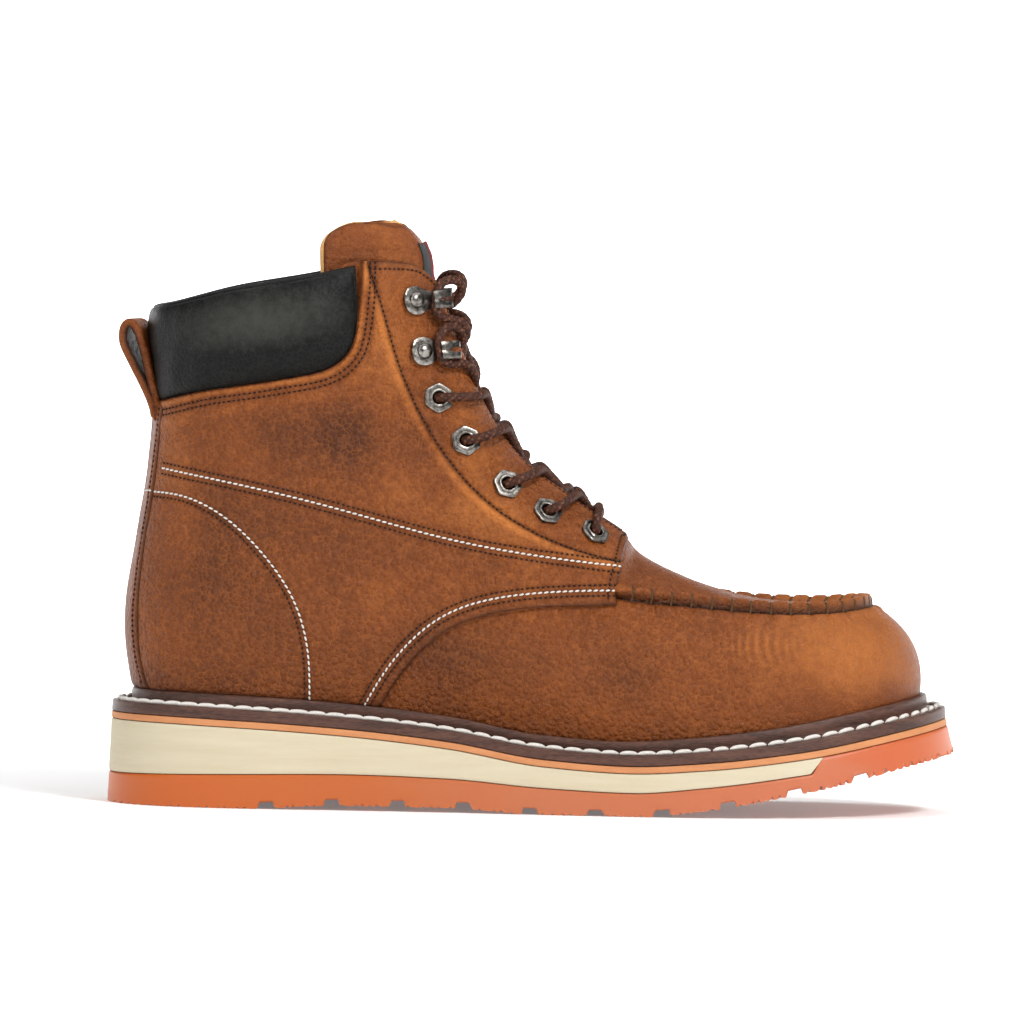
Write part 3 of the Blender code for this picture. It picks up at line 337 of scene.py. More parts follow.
def shellFaces(rows, cols, every):
    # a fine outer grid, an inner grid that keeps each n-th point, and walls that join n outer steps to one inner step
    keepI = np.unique(np.append(np.arange(0, rows, every), rows - 1))
    keepJ = np.unique(np.append(np.arange(0, cols, every), cols - 1))
    count, wide = rows * cols, len(keepJ)
    odd = []
    for a, b in zip(range(len(keepI) - 1), range(1, len(keepI))):
        run = list(range(keepI[a], keepI[b] + 1))
        odd.append([i * cols for i in run[::-1]] + [count + a * wide, count + b * wide])
        odd.append([i * cols + cols - 1 for i in run] + [count + b * wide + wide - 1, count + a * wide + wide - 1])
    tail = (len(keepI) - 1) * wide
    for a, b in zip(range(wide - 1), range(1, wide)):
        run = list(range(keepJ[a], keepJ[b] + 1))
        odd.append(run + [count + b, count + a])
        odd.append([(rows - 1) * cols + j for j in run[::-1]] + [count + tail + a, count + tail + b])
    inner = gridQuads(len(keepI), wide, count)[:, ::-1]
    return np.concatenate([gridQuads(rows, cols), inner]), odd, np.ix_(keepI, keepJ)


def shellPiece(name, outer, inner, every, materials, marks=None, backSlot=0, sharp=None):
    # closed shell: the outer grid as it is, each n-th point of the inner grid, and walls along the four edges
    quads, odd, kept = shellFaces(*outer.shape[:2], every)
    points = np.concatenate([outer.reshape(-1, 3), inner[kept].reshape(-1, 3)])
    marks = {key: np.concatenate([v.ravel(), v[kept].ravel()]) for key, v in (marks or {}).items()}
    front = (outer.shape[0] - 1) * (outer.shape[1] - 1)
    pick = np.concatenate([np.zeros(front, int), np.full(len(quads) - front, backSlot), np.full(len(odd), backSlot)])
    return buildPiece(name, points, quads, materials, odd, pick, marks, sharp)


def tubePoints(path, radius, sides, start):
    # circle of that radius square to the path; the first direction follows the start vector
    ahead = unit(np.gradient(path, axis=-2))
    first = unit(start - (start * ahead).sum(-1, keepdims=True) * ahead)
    second = np.cross(ahead, first)
    angle = np.arange(sides) * math.tau / sides
    ring = np.cos(angle)[:, None] * first[..., None, :] + np.sin(angle)[:, None] * second[..., None, :]
    return path[..., None, :] + ring * np.asarray(radius)[..., None, None]


def flatEnds(rings, sides, first=0):  # first and last ring of a tube, as faces
    return [list(range(first, first + sides))[::-1], list(range(first + (rings - 1) * sides, first + rings * sides))]


def tubeFaces(rings, sides, tubes=1):  # joined tubes with flat ends
    one = gridQuads(rings, sides, loopCols=True)
    quads = (one[None] + (np.arange(tubes) * rings * sides)[:, None, None]).reshape(-1, 4)
    return quads, [face for k in range(tubes) for face in flatEnds(rings, sides, k * rings * sides)]


# Finishes

def newFinish(name):  # a material, its node tree and its shader
    material = bpy.data.materials.new(name)
    material.use_nodes = True
    tree = material.node_tree
    return material, tree, tree.nodes["Principled BSDF"]


def addNode(tree, kind, settings=None, **inputs):
    # a node with its settings, and its inputs set to numbers or linked to other nodes' outputs
    node = tree.nodes.new("ShaderNode" + kind)
    for key, value in (settings or {}).items():
        setattr(node, key, value)
    for key, value in inputs.items():
        socket = node.inputs[int(key[1:]) if key[0] == "n" and key[1:].isdigit() else key]
        if isinstance(value, bpy.types.NodeSocket):
            tree.links.new(value, socket)
        else:
            socket.default_value = value
    return node


def mathNode(tree, operation, a, b=0.0, c=0.0):  # one sum or product of up to three values
    return addNode(tree, "Math", {"operation": operation}, n0=a, n1=b, n2=c).outputs[0]


def mixNode(tree, share, a, b):  # colour a * (1 - share) + b * share
    return addNode(tree, "Mix", {"data_type": "RGBA"}, n0=share, n6=a, n7=b).outputs[2]


def objectSpace(tree, stretch=(1, 1, 1)):  # Object coordinates, stretched along the axes
    place = addNode(tree, "TexCoord").outputs["Object"]
    return addNode(tree, "Mapping", None, Vector=place, Scale=stretch).outputs[0]


def noiseNode(tree, place, size, detail=3.0, rough=0.55):  # soft noise with features of a size in mm
    node = addNode(tree, "TexNoise", None, Vector=place, Scale=1000.0 / size, Detail=detail, Roughness=rough)
    return node.outputs[0]


def markNode(tree, name):  # a vertex mark of the piece
    return addNode(tree, "Attribute", {"attribute_name": name}).outputs["Fac"]


def bumpNode(tree, shader, height, depth):  # depth in mm
    bump = addNode(tree, "Bump", None, Height=height, Distance=depth * mm, Strength=1.0)
    tree.links.new(bump.outputs[0], shader.inputs["Normal"])


def toneRamp(tree, share, tones):  # colour by a share, straight between stops of place and colour
    ramp = addNode(tree, "ValToRGB", None, Fac=share)
    stops = ramp.color_ramp.elements
    stops[0].position, stops[0].color = tones[0]
    stops[1].position, stops[1].color = tones[-1]
    for where, colour in tones[1:-1]:
        stops.new(where).color = colour
    return ramp.outputs[0]


def rgb(red, green, blue):  # screen colour as linear light
    c = np.array([red, green, blue]) / 255.0
    c = np.where(c <= 0.04045, c / 12.92, ((c + 0.055) / 1.055) ** 2.4)
    return (*[float(v) for v in c], 1.0)


hide = dict(
    dark=rgb(76, 36, 13), main=rgb(119, 61, 22), light=rgb(176, 104, 46), edge=rgb(40, 21, 12), pebble=1.9, fine=0.85,
    depth=0.6, rough=0.4, shine=0.2, cloud=0.5, spots=0.26, valley=0.26,
)
# light is the colour that the collar pad's painted highlight blends towards; pale valleys use it too
collarHide = dict(
    dark=rgb(4, 5, 4), main=rgb(7, 8, 7), light=rgb(66, 66, 61), edge=rgb(4, 4, 4), pebble=1.6, fine=0.8,
    depth=0.2, rough=0.42, shine=0.14, cloud=0.12, spots=0.22, valley=0.35,
)


def leatherFinish(name, look):
    # grained hide: rounded pebbles with narrow valleys in two sizes, warped; the marks give grain, tone with painted
    # highlight and shade, and the dark of seams and edges with painted shadow
    material, tree, shader = newFinish(name)
    place = objectSpace(tree)
    warp = addNode(tree, "TexNoise", None, Vector=place, Scale=330.0, Detail=3.0).outputs[1]
    offset = addNode(tree, "VectorMath", {"operation": "MULTIPLY_ADD"}, n0=warp, n1=(0.0016,) * 3, n2=place).outputs[0]

    def cells(feature, size):
        return addNode(tree, "TexVoronoi", {"feature": feature}, Vector=offset, Scale=1000 / size).outputs[0]

    edge, fine = cells("DISTANCE_TO_EDGE", look["pebble"]), cells("DISTANCE_TO_EDGE", look["fine"])
    grain, dome = markNode(tree, "grain"), cells("F1", look["pebble"])
    rounded = {"interpolation_type": "SMOOTHSTEP"}
    crown = addNode(tree, "MapRange", rounded, n0=dome, n1=0.1, n2=0.75, n3=1.0, n4=0.0).outputs[0]
    small = addNode(tree, "MapRange", None, n0=fine, n1=0.0, n2=0.28, n3=0.0, n4=1.0).outputs[0]
    height = mathNode(tree, "MULTIPLY", crown, grain)
    height = mathNode(tree, "MULTIPLY_ADD", small, 0.26, height)
    height = mathNode(tree, "MULTIPLY_ADD", noiseNode(tree, place, 0.45, 2.0), 0.16, height)
    height = mathNode(tree, "MULTIPLY_ADD", noiseNode(tree, place, 6.0, 4.0, 0.6), 0.7, height)
    bumpNode(tree, shader, height, look["depth"])
    cloud = noiseNode(tree, place, 30.0, 5.0, 0.6)
    spots = noiseNode(tree, place, 3.2, 4.0, 0.7)
    tone = mathNode(tree, "MULTIPLY_ADD", mathNode(tree, "SUBTRACT", cloud, 0.5), look["cloud"], 0.5)
    tone = mathNode(tree, "MULTIPLY_ADD", mathNode(tree, "SUBTRACT", spots, 0.5), look["spots"], tone)
    tone = mathNode(tree, "ADD", tone, markNode(tree, "tone"))
    toned = toneRamp(tree, tone, [(0.1, look["dark"]), (0.52, look["main"]), (0.95, look["light"])])
    valley = addNode(tree, "MapRange", None, n0=edge, n1=0.01, n2=0.15, n3=look["valley"], n4=0.0).outputs[0]
    pulled = addNode(tree, "MapRange", None, n0=spots, n1=0.36, n2=0.56, n3=0.1, n4=0.9).outputs[0]
    # valleys are dark in places, partly painted shade, and pale where the hide is stretched
    net = mixNode(tree, pulled, look["dark"], look["light"])
    colour = mixNode(tree, mathNode(tree, "MULTIPLY", valley, grain), toned, net)
    # the seam mark darkens seams and edges, and paints shadow in the moc crease, beside the heel strip and inside the
    # pull loop
    colour = mixNode(tree, markNode(tree, "seam"), colour, look["edge"])
    tree.links.new(colour, shader.inputs["Base Color"])
    rough = addNode(tree, "MapRange", None, n0=spots, n1=0.3, n2=0.7, n3=look["rough"] - 0.07, n4=look["rough"] + 0.09)
    tree.links.new(rough.outputs[0], shader.inputs["Roughness"])
    shader.inputs["Specular IOR Level"].default_value = look["shine"]
    return material


def rubberFinish(name, colour, second, rough, speck=0.25, streak=(1, 1, 6), relief=0.05):
    # moulded or cut rubber: two close colours in cloudy streaks, with fine pits
    material, tree, shader = newFinish(name)
    cloud = noiseNode(tree, objectSpace(tree, streak), 16.0, 5.0, 0.6)
    fine = noiseNode(tree, objectSpace(tree, streak), 1.1, 3.0)
    share = mathNode(tree, "MULTIPLY_ADD", mathNode(tree, "SUBTRACT", fine, 0.5), speck * 2, cloud)
    spread = addNode(tree, "MapRange", None, n0=share, n1=0.3, n2=0.72, n3=0.0, n4=1.0).outputs[0]
    tree.links.new(mixNode(tree, spread, colour, second), shader.inputs["Base Color"])
    bumpNode(tree, shader, fine, relief)
    shader.inputs["Roughness"].default_value = rough
    shader.inputs["Specular IOR Level"].default_value = 0.3
    return material


gumTones = [  # share of the way from heel to toe, and the colour there
    (0.05, rgb(184, 90, 30)), (0.3, rgb(180, 94, 44)), (0.5, rgb(180, 104, 68)), (0.84, rgb(184, 104, 71)),
    (0.92, rgb(188, 96, 59)), (1.0, rgb(192, 100, 59)),
]


def gumFinish(name):
    # gum rubber, redder and clearer at the toe, more orange at the heel, by the X of the place
    material, tree, shader = newFinish(name)
    place = objectSpace(tree)
    x = addNode(tree, "SeparateXYZ", None, Vector=place).outputs[0]
    cloud = noiseNode(tree, objectSpace(tree, (1, 1, 3)), 22.0, 4.0)
    at = mathNode(tree, "MULTIPLY_ADD", mathNode(tree, "SUBTRACT", cloud, 0.5), 0.05, x)
    share = addNode(tree, "MapRange", None, n0=at, n1=-0.15, n2=0.15, n3=0.0, n4=1.0).outputs[0]
    toned = toneRamp(tree, share, gumTones)
    # painted shade: the seam mark darkens the gum in the tread's grooves and ripples
    dark = mixNode(tree, markNode(tree, "seam"), toned, rgb(96, 34, 16))
    tree.links.new(dark, shader.inputs["Base Color"])
    bumpNode(tree, shader, noiseNode(tree, place, 0.9, 3.0), 0.06)
    shader.inputs["Roughness"].default_value = 0.42
    shader.inputs["Specular IOR Level"].default_value = 0.35
    shader.inputs["Subsurface Weight"].default_value = 0.18
    shader.inputs["Subsurface Radius"].default_value = (1.0, 0.35, 0.12)
    shader.inputs["Subsurface Scale"].default_value = 3 * mm
    return material


def threadFinish(name, colour, second):
    # twisted thread: two close colours and a bump by one fine noise
    material, tree, shader = newFinish(name)
    fine = noiseNode(tree, objectSpace(tree), 0.5, 2.0)
    tree.links.new(mixNode(tree, fine, colour, second), shader.inputs["Base Color"])
    bumpNode(tree, shader, fine, 0.08)
    shader.inputs["Roughness"].default_value = 0.7
    shader.inputs["Specular IOR Level"].default_value = 0.2
    return material


nickelTones = [(0.36, rgb(66, 61, 56)), (0.64, rgb(168, 163, 156))]  # stops of wear and colour


def metalFinish(name):
    # antique nickel: bright where worn, brown-black in the pits
    material, tree, shader = newFinish(name)
    place = objectSpace(tree)
    worn = noiseNode(tree, place, 2.2, 5.0, 0.7)
    toned = toneRamp(tree, worn, nickelTones)
    tree.links.new(mixNode(tree, markNode(tree, "seam"), toned, rgb(34, 30, 27)), shader.inputs["Base Color"])
    bumpNode(tree, shader, noiseNode(tree, place, 0.8, 3.0), 0.05)
    shader.inputs["Metallic"].default_value = 1.0
    shader.inputs["Roughness"].default_value = 0.3
    return material


laceTones = [(0.15, rgb(24, 12, 8)), (0.6, rgb(70, 38, 25)), (1.0, rgb(150, 98, 70))]  # from between yarns, darkest as painted shade, to their crowns


def laceFinish(name):
    # braided cord: dark between yarns as painted shade, with lighter yarns, by the mark that the braid carries
    material, tree, shader = newFinish(name)
    fleck = noiseNode(tree, objectSpace(tree), 0.7, 2.0)
    share = mathNode(tree, "MULTIPLY_ADD", mathNode(tree, "SUBTRACT", fleck, 0.5), 0.9, markNode(tree, "strand"))
    tree.links.new(toneRamp(tree, share, laceTones), shader.inputs["Base Color"])
    bumpNode(tree, shader, noiseNode(tree, objectSpace(tree), 0.4, 2.0), 0.1)
    shader.inputs["Roughness"].default_value = 0.6
    shader.inputs["Specular IOR Level"].default_value = 0.2
    return material


def clothFinish(name, colour, second, size=0.9):
    # napped lining: small cells, mixed with a broader nap in two close colours
    material, tree, shader = newFinish(name)
    place = objectSpace(tree)
    cross = addNode(tree, "TexVoronoi", {"feature": "F1"}, Vector=place, Scale=1000 / size).outputs[0]
    nap = noiseNode(tree, place, 9.0, 5.0)
    tree.links.new(mixNode(tree, mathNode(tree, "MULTIPLY", cross, nap), colour, second), shader.inputs["Base Color"])
    bumpNode(tree, shader, cross, 0.12)
    shader.inputs["Roughness"].default_value = 0.9
    shader.inputs["Sheen Weight"].default_value = 0.2
    return material


def wovenFinish(name, ground, band):
    # plain woven patch: ribs along its height, the band's colour where the mark says so
    material, tree, shader = newFinish(name)
    ribs = addNode(tree, "TexWave", {"bands_direction": "Y"}, Vector=objectSpace(tree), Scale=700.0).outputs[1]
    plain = mixNode(tree, markNode(tree, "band"), ground, band)
    dim = mixNode(tree, mathNode(tree, "MULTIPLY", ribs, 0.5), plain, rgb(16, 16, 17))
    tree.links.new(dim, shader.inputs["Base Color"])
    bumpNode(tree, shader, ribs, 0.15)
    shader.inputs["Roughness"].default_value = 0.8
    return material


brown = leatherFinish("brownLeather", hide)
rawEdge = rubberFinish("rawEdge", rgb(112, 66, 38), rgb(72, 42, 26), 0.85, 0.5, (1, 1, 1), 0.15)
black = leatherFinish("blackLeather", collarHide)
gum = gumFinish("gumRubber")
tanRubber = rubberFinish("tanRubber", rgb(200, 136, 90), rgb(184, 120, 76), 0.6)
foam = rubberFinish("creamFoam", rgb(200, 190, 165), rgb(191, 179, 151), 0.62, 0.15, (0.4, 0.4, 5))
weltBrown = rubberFinish("weltBrown", rgb(94, 62, 50), rgb(56, 35, 28), 0.36, 0.6, (0.4, 0.4, 5), 0.18)
whiteThread = threadFinish("whiteThread", rgb(232, 228, 222), rgb(182, 176, 168))
darkThread = threadFinish("darkThread", rgb(44, 24, 14), rgb(22, 12, 8))
mocThread = threadFinish("mocThread", rgb(98, 68, 42), rgb(60, 40, 24))
nickel = metalFinish("antiqueNickel")
braid = laceFinish("braidedLace")
liningCloth = clothFinish("liningCloth", rgb(224, 170, 88), rgb(190, 134, 62))
boardCloth = clothFinish("boardCloth", rgb(176, 140, 92), rgb(132, 98, 60))
wovenPatch = wovenFinish("wovenPatch", rgb(52, 54, 56), rgb(158, 26, 40))
print("finishes ready")


# Sole

outsole = dict(
    stations=640, across=44, ripple=3.1, rippleDepth=0.75, toeDepth=0.8, toeWorn=1.4, zigzag=2.2, zigzagWide=11.0,
    grooveFirst=-94.5, groovePitch=23.5, grooves=10, grooveHalf=3.0, grooveDepth=2.2, draft=0.6,
    rampLow=98.3, rampHigh=103.5, wallShares=(0.06, 0.14, 0.3, 0.5, 0.7, 0.88, 0.96, 1.0),
    wallInsets=(0.12, 0.0, 0.0, 0.05, 0.05, 0.0, 0.1, 0.5),
)


def treadCut(x, y, look):
    # how far the tread is cut up: flat-bottomed cross grooves, and zigzag ripples of changing depth
    k = np.clip(np.round((x - look["grooveFirst"]) / look["groovePitch"]), 0, look["grooves"] - 1)
    off = np.abs(x - look["grooveFirst"] - k * look["groovePitch"])
    groove = look["grooveDepth"] * (1 - smooth(look["grooveHalf"] - look["draft"], look["grooveHalf"], off))
    lane = y / look["zigzagWide"]
    phase = (x + look["zigzag"] * np.abs(lane % 2 - 1) + 0.9 * np.sin(x / 4.3) + 0.5 * np.sin(x / 1.9)) / look["ripple"]
    uneven = 0.6 + 0.4 * np.sin(np.floor(phase) * 2.4 + np.floor(lane) * 1.7)
    deep = (look["rippleDepth"] + look["toeDepth"] * smooth(50, 110, x)) * uneven
    return np.maximum(groove, deep * smooth(0.42, 0.7, np.abs((phase % 1) * 2 - 1)))


def sideAt(turn, height, inset=0.0):  # place on the sole's sloping side, moved in by the inset
    x = station(turn)
    top, bottom = soleHeight("welt", x), soleHeight("tread", x)
    share = np.clip((top - height) / (top - bottom), 0, 1)
    margin = last["welt"] + (treadMargin(np.abs(turn)) - last["welt"]) * share - inset
    px, py = outline(turn, margin)
    return np.stack([px, py, height * np.ones(px.shape)], axis=-1)


def loopSection(bottom, lateral, top, medial):  # one closed section across the sole for each station
    return np.concatenate([bottom, lateral, top, medial], axis=1)


def wallColumns(turns, low, high, shares, insets):  # side wall between two heights, as columns from low to high
    return np.stack([sideAt(turns, low + (high - low) * s, i) for s, i in zip(shares, insets)], axis=1)


def makeOutsole():
    # for each station: the cut tread, both walls, and a lid that ramps up to the slip sole before the toe
    look = outsole
    turns = np.linspace(0, 180, look["stations"] + 1)
    x = station(turns)
    tread = soleHeight("tread", x) + look["toeWorn"] * smooth(98, 138, x)
    ramp = smooth(look["rampLow"], look["rampHigh"], x)
    top = (soleHeight("wedge", x) - halfGap) * (1 - ramp) + (soleHeight("welt", x) - slipSole - halfGap) * ramp
    left, right = sideAt(-turns, tread), sideAt(turns, tread)
    q = np.linspace(1, 0, look["across"])[None, :, None]
    floor = left[:, None] + (right - left)[:, None] * q
    cut = treadCut(floor[..., 0], floor[..., 1], look)
    floor[..., 2] += cut
    shares, insets = look["wallShares"], look["wallInsets"]
    lateral = wallColumns(-turns, floor[:, -1, 2], top, shares, insets)
    medial = wallColumns(turns, floor[:, 0, 2], top, shares, insets)
    across = np.linspace(0, 1, 5)[None, 1:-1, None]
    lid = lateral[:, -1:] + (medial[:, -1:] - lateral[:, -1:]) * across
    points = loopSection(floor, lateral, lid, medial[:, ::-1])
    dark = np.zeros(points.shape[:2])
    # painted shade in the tread's cuts, deeper cuts darker
    dark[:, :look["across"]] = smooth(0.6, 2.0, cut) * 0.8
    quads = gridQuads(*points.shape[:2], loopCols=True)
    piece = buildPiece("outsoleTread", points, quads, [gum], marks={"seam": dark}, sharp=50)
    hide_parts("outsole")


layers = dict(  # X of the front ends at bottom and top, and the side wall's shares of the height with insets in mm
    wedgeEnd=(98.0, 103.2), slipEnd=(152.9, 152.9), stations=361, across=6,
    wallShares=(0.0, 0.03, 0.1, 0.35, 0.65, 0.9, 0.97, 1.0), wallInsets=(0.35, 0.1, 0.0, 0.0, 0.0, 0.0, 0.1, 0.35),
)


def makeLayer(name, node, slot, finish, endLow, endHigh, lowLine, highLine):
    # slab between two lines of the side view; its front end slants from endLow at the bottom to endHigh at the top
    look = layers
    t = np.linspace(0, 1, look["stations"])

    def wall(side):
        rows = []
        for share, inset in zip(look["wallShares"], look["wallInsets"]):
            turn = t * turnAt(endLow) + (turnAt(endHigh) - turnAt(endLow)) * share * smooth(0.85, 1.0, t)
            low, high = lowLine(station(turn)), highLine(station(turn))
            rows.append(sideAt(side * turn, low + (high - low) * share, inset))
        return np.stack(rows, axis=1)

    lateral, medial = wall(-1), wall(1)
    q = np.linspace(0, 1, look["across"])[None, 1:-1, None]
    bottom = medial[:, :1] + (lateral[:, :1] - medial[:, :1]) * q
    lid = lateral[:, -1:] + (medial[:, -1:] - lateral[:, -1:]) * q
    points = loopSection(bottom, lateral, lid, medial[:, ::-1])
    rows, cols = points.shape[:2]
    odd = [list(range((rows - 1) * cols, rows * cols))]
    piece = buildPiece(name, points, gridQuads(rows, cols, loopCols=True), [finish], odd, sharp=50)
    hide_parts(node)


def underSlip(x):  # underside of the slip sole
    return soleHeight("welt", x) - slipSole - halfGap


makeOutsole()
makeLayer("creamWedge", "midsole_wedge", "cream_foam", foam, *layers["wedgeEnd"],
          lambda x: soleHeight("wedge", x) + halfGap, underSlip)
makeLayer("slipSole", "slip_sole", "tan_rubber", tanRubber, *layers["slipEnd"],
          lambda x: underSlip(x) + 2 * halfGap, lambda x: soleHeight("welt", x) - halfGap)

welt = dict(columns=560, clear=0.38, lipWall=1.7, lipFoot=1.0, steps=3, stitchPitch=6.6, stitchLong=7.0, stitchThick=0.82,
            stitchMargin=5.2, stitchSlant=1.1)


def roundedLoop(controls, steps):
    # quadratic B-spline round a closed polygon of control points: each corner becomes a parabola between edge middles
    t = (np.arange(steps) / steps)[:, None]
    rows = []
    for k in range(len(controls)):
        a, b, c = controls[k - 1][:, None], controls[k][:, None], controls[(k + 1) % len(controls)][:, None]
        rows.append((a + b) / 2 * (1 - t) ** 2 + 2 * b * t * (1 - t) + (b + c) / 2 * t**2)
    return np.concatenate(rows, axis=1)


def makeWelt():
    # closed section all round: a flat ledge over the sole's edge, then a lip up against the leather
    look = welt
    turns = np.linspace(-180, 180, look["columns"], endpoint=False)
    base = soleHeight("welt", station(turns))
    out, clear = outward(turns), look["clear"]

    def wall(height, away):
        return skin(turns, overSole(turns, height)) + out * away

    def edge(margin, height):
        return np.stack([*outline(turns, margin), base + height], axis=-1)

    lip = weltEdge + weltLip
    wide = clear + look["lipWall"]
    controls = [
        skin(turns, 0.0) + out * clear, edge(4, halfGap), edge(7.5, halfGap), edge(8.0, halfGap), edge(8.0, 0.7),
        edge(7.9, 2.0), edge(7.8, weltEdge - 0.6), edge(7.7, weltEdge), edge(7.0, weltEdge), edge(4.5, weltEdge),
        wall(weltEdge, wide + look["lipFoot"] + 0.8), wall(weltEdge, wide + look["lipFoot"]),
        wall(weltEdge + 1.2, wide + 0.75), wall(weltEdge + 2.6, wide + 0.6), wall(lip - 0.9, wide + 0.25),
        wall(lip, wide - 0.3), wall(lip + 0.2, clear + 0.4), wall(lip - 1.2, clear), wall(weltEdge, clear),
    ]
    points = roundedLoop(controls, look["steps"])
    quads = gridQuads(*points.shape[:2], loopRows=True, loopCols=True)
    piece = buildPiece("stormWelt", points, quads, [weltBrown], sharp=60)
    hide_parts("welt")


def stitchPoints(start, end, normal, thick, arch, rings=5, sides=6):
    # pods from start to end: radius thick * sqrt(1 - t^4), middle raised by arch * (1 - t^2)
    t = np.linspace(-0.97, 0.97, rings)
    middle, half = (start + end) / 2, (end - start) / 2
    across = unit(np.cross(normal, half))
    path = middle[:, None] + half[:, None] * t[:, None] + normal[:, None] * (arch * (1 - t**2))[:, None]
    angle = np.arange(sides) * math.tau / sides
    ring = np.cos(angle)[:, None] * normal[:, None, None] + np.sin(angle)[:, None] * across[:, None, None]
    return path[:, :, None] + ring * (thick * np.sqrt(1 - t**4))[:, None, None]


def stitchPiece(name, groups, finish, rings=5, sides=6):  # rows of pods as one mesh
    points = np.concatenate(groups)
    quads, odd = tubeFaces(rings, sides, len(points))
    return buildPiece(name, points.reshape(-1, 3), quads, [finish], odd)


def makeWeltStitches():
    # slanting pods end to end along the ledge, each a little uneven in length
    look = welt
    turn = wrapped(np.linspace(-180, 180, 2881))

    def ledge(t, aside=0.0):
        x, y = outline(t, look["stitchMargin"] + aside)
        return np.stack([x, y, soleHeight("welt", station(t)) + weltEdge + 0.25], axis=-1)

    run = along(ledge(turn))
    count = int(run[-1] / look["stitchPitch"])
    centre = (np.arange(count) + 0.5) * run[-1] / count
    draw = np.random.default_rng(7)
    uneven = draw.uniform(-0.35, 0.35, (2, count))
    start = ledge(np.interp(centre - look["stitchLong"] / 2 + uneven[0], run, turn), -look["stitchSlant"] / 2)
    end = ledge(np.interp(centre + look["stitchLong"] / 2 + uneven[1], run, turn), look["stitchSlant"] / 2)
    normal = np.tile(np.array([0.0, 0.0, 1.0]), (count, 1))
    pods = stitchPoints(start, end, normal, look["stitchThick"], 0.4, 7, 8)
    piece = stitchPiece("weltStitches", [pods], whiteThread, 7, 8)
    print("welt stitches:", count)


footbed = dict(stations=121, across=21, margin=-6.9, thick=3.6, dish=0.8)


def makeFootbed():
    # board inside the boot: the sole's outline drawn in, with edges raised by the square of the way out
    look = footbed
    turns = np.linspace(0, 180, look["stations"])
    left, right = (np.stack([*outline(side * turns, look["margin"])], axis=-1) for side in (-1, 1))
    q = np.linspace(0, 1, look["across"])[None, :, None]
    flat = left[:, None] + (right - left)[:, None] * q
    base = soleHeight("welt", station(turns))[:, None] + halfGap + 0 * q[..., 0]
    top = base + look["thick"] - look["dish"] * (1 - (2 * q[..., 0] - 1) ** 2) * np.sin(np.radians(turns))[:, None]
    upper, lower = np.concatenate([flat, top[..., None]], -1), np.concatenate([flat, base[..., None]], -1)
    piece = shellPiece("footbed", upper, lower, 1, [boardCloth], sharp=50)
    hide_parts("insole")


makeWelt()
makeWeltStitches()
makeFootbed()


# Hide marks: lighter and darker places, the hide's own tone mixed with painted highlight and shade, and where the
# pebble shows

# patches of tone: partly the hide's own colour, partly painted highlight, as on the toe, and painted shade
hideTonesAndPaintedLight = columns(  # place, reach and amount: below zero is darker and redder
    ("x", "z", "wide", "high", "amount"),
    (-76, 133, 30, 13, -0.34), (-100, 104, 22, 12, -0.16), (-118, 132, 16, 10, 0.05), (-52, 150, 9, 22, 0.14),
    (-20, 106, 16, 9, 0.2), (-114, 80, 20, 22, -0.2), (-92, 60, 14, 14, -0.16), (-70, 62, 18, 18, 0.02),
    (-32, 54, 30, 13, -0.26), (40, 52, 26, 12, -0.08), (118, 58, 34, 24, 0.26), (70, 38, 40, 9, 0.04),
    (-60, 92, 26, 12, -0.1), (0, 82, 20, 7, 0.08), (-24, 126, 12, 18, 0.12), (112, 40, 30, 9, -0.14),
)


def hideMarks(points):
    # tone is the sum of the patches less a painted shade low near the welt; grain fades to the smooth toe and shaft top
    x, z = points[..., 0], points[..., 2]
    tone = sum(a * hump(x - px, w) * hump(z - pz, h) for px, pz, w, h, a in zip(*hideTonesAndPaintedLight.values()))
    # painted shade: darker low on the upper just above the welt, less so towards the toe
    paintedWeltShade = hump(z - soleHeight("welt", x) - 8, 9) * (1 - 0.7 * smooth(60, 110, x))
    tone = tone + 0.06 * soften(points, 26, 3) - 0.16 * paintedWeltShade
    grain = 0.95 - 0.62 * smooth(66, 116, x) - 0.35 * smooth(172, 190, z)
    return tone, np.clip(grain + 0.12 * soften(points, 40, 5), 0.08, 1)


# Upper

vampEdge = columns(("x", "z"), (-57, 31.5), (-49.5, 45.2), (-41, 56.2), (-29, 65.8), (-12, 71.6), (9, 74.0), (34, 74.6))
padEdge = columns(
    ("x", "z"), (-140, 143.0), (-121, 147.8), (-103, 151.0), (-85, 154.0), (-74, 157.4), (-67, 164.0), (-64, 172.0),
)
vamp = dict(
    columns=390, backTurn=60, lowRows=66, seamRows=34, topRows=24, leather=1.4, ridge=3.5, ridgeFoot=7.4,
    seamTurns=(104, 107.5), seamSpan=9.0, threadPitch=7.2, threadThick=0.48, threadReach=5.4, threadTurn=108.5, pinch=0.32,
)


def ridgeHeight(w, u, look):
    # rolled edge of the toe plug across the moc seam: a steep face, a round back, pinched at each thread
    tight = hump((u / look["threadPitch"] + 0.5) % 1 - 0.5, 0.13)
    roll = look["ridge"] * smooth(-0.1, 1.15, w) * (1 - smooth(1.9, look["ridgeFoot"], w))
    trough = (0.85 + 0.35 * tight) * hump(w, 0.85)
    puff = 0.75 * hump(w + 2.7, 2.0) * (1 - 0.9 * tight)
    return roll * (1 - look["pinch"] * tight + 0.06) + np.where(w < 0.6, puff, 0.0) - trough


toeFan = dict(x=79.0, z=61.5, wide=13.0, high=5.5, pitch=2.9)
flexFolds = dict(z=55.0, high=16.0, folds=[(24, 0.35, 0.35, 3.4), (38, 0.2, 0.28, 2.6), (52, 0.45, 0.22, 2.8)])


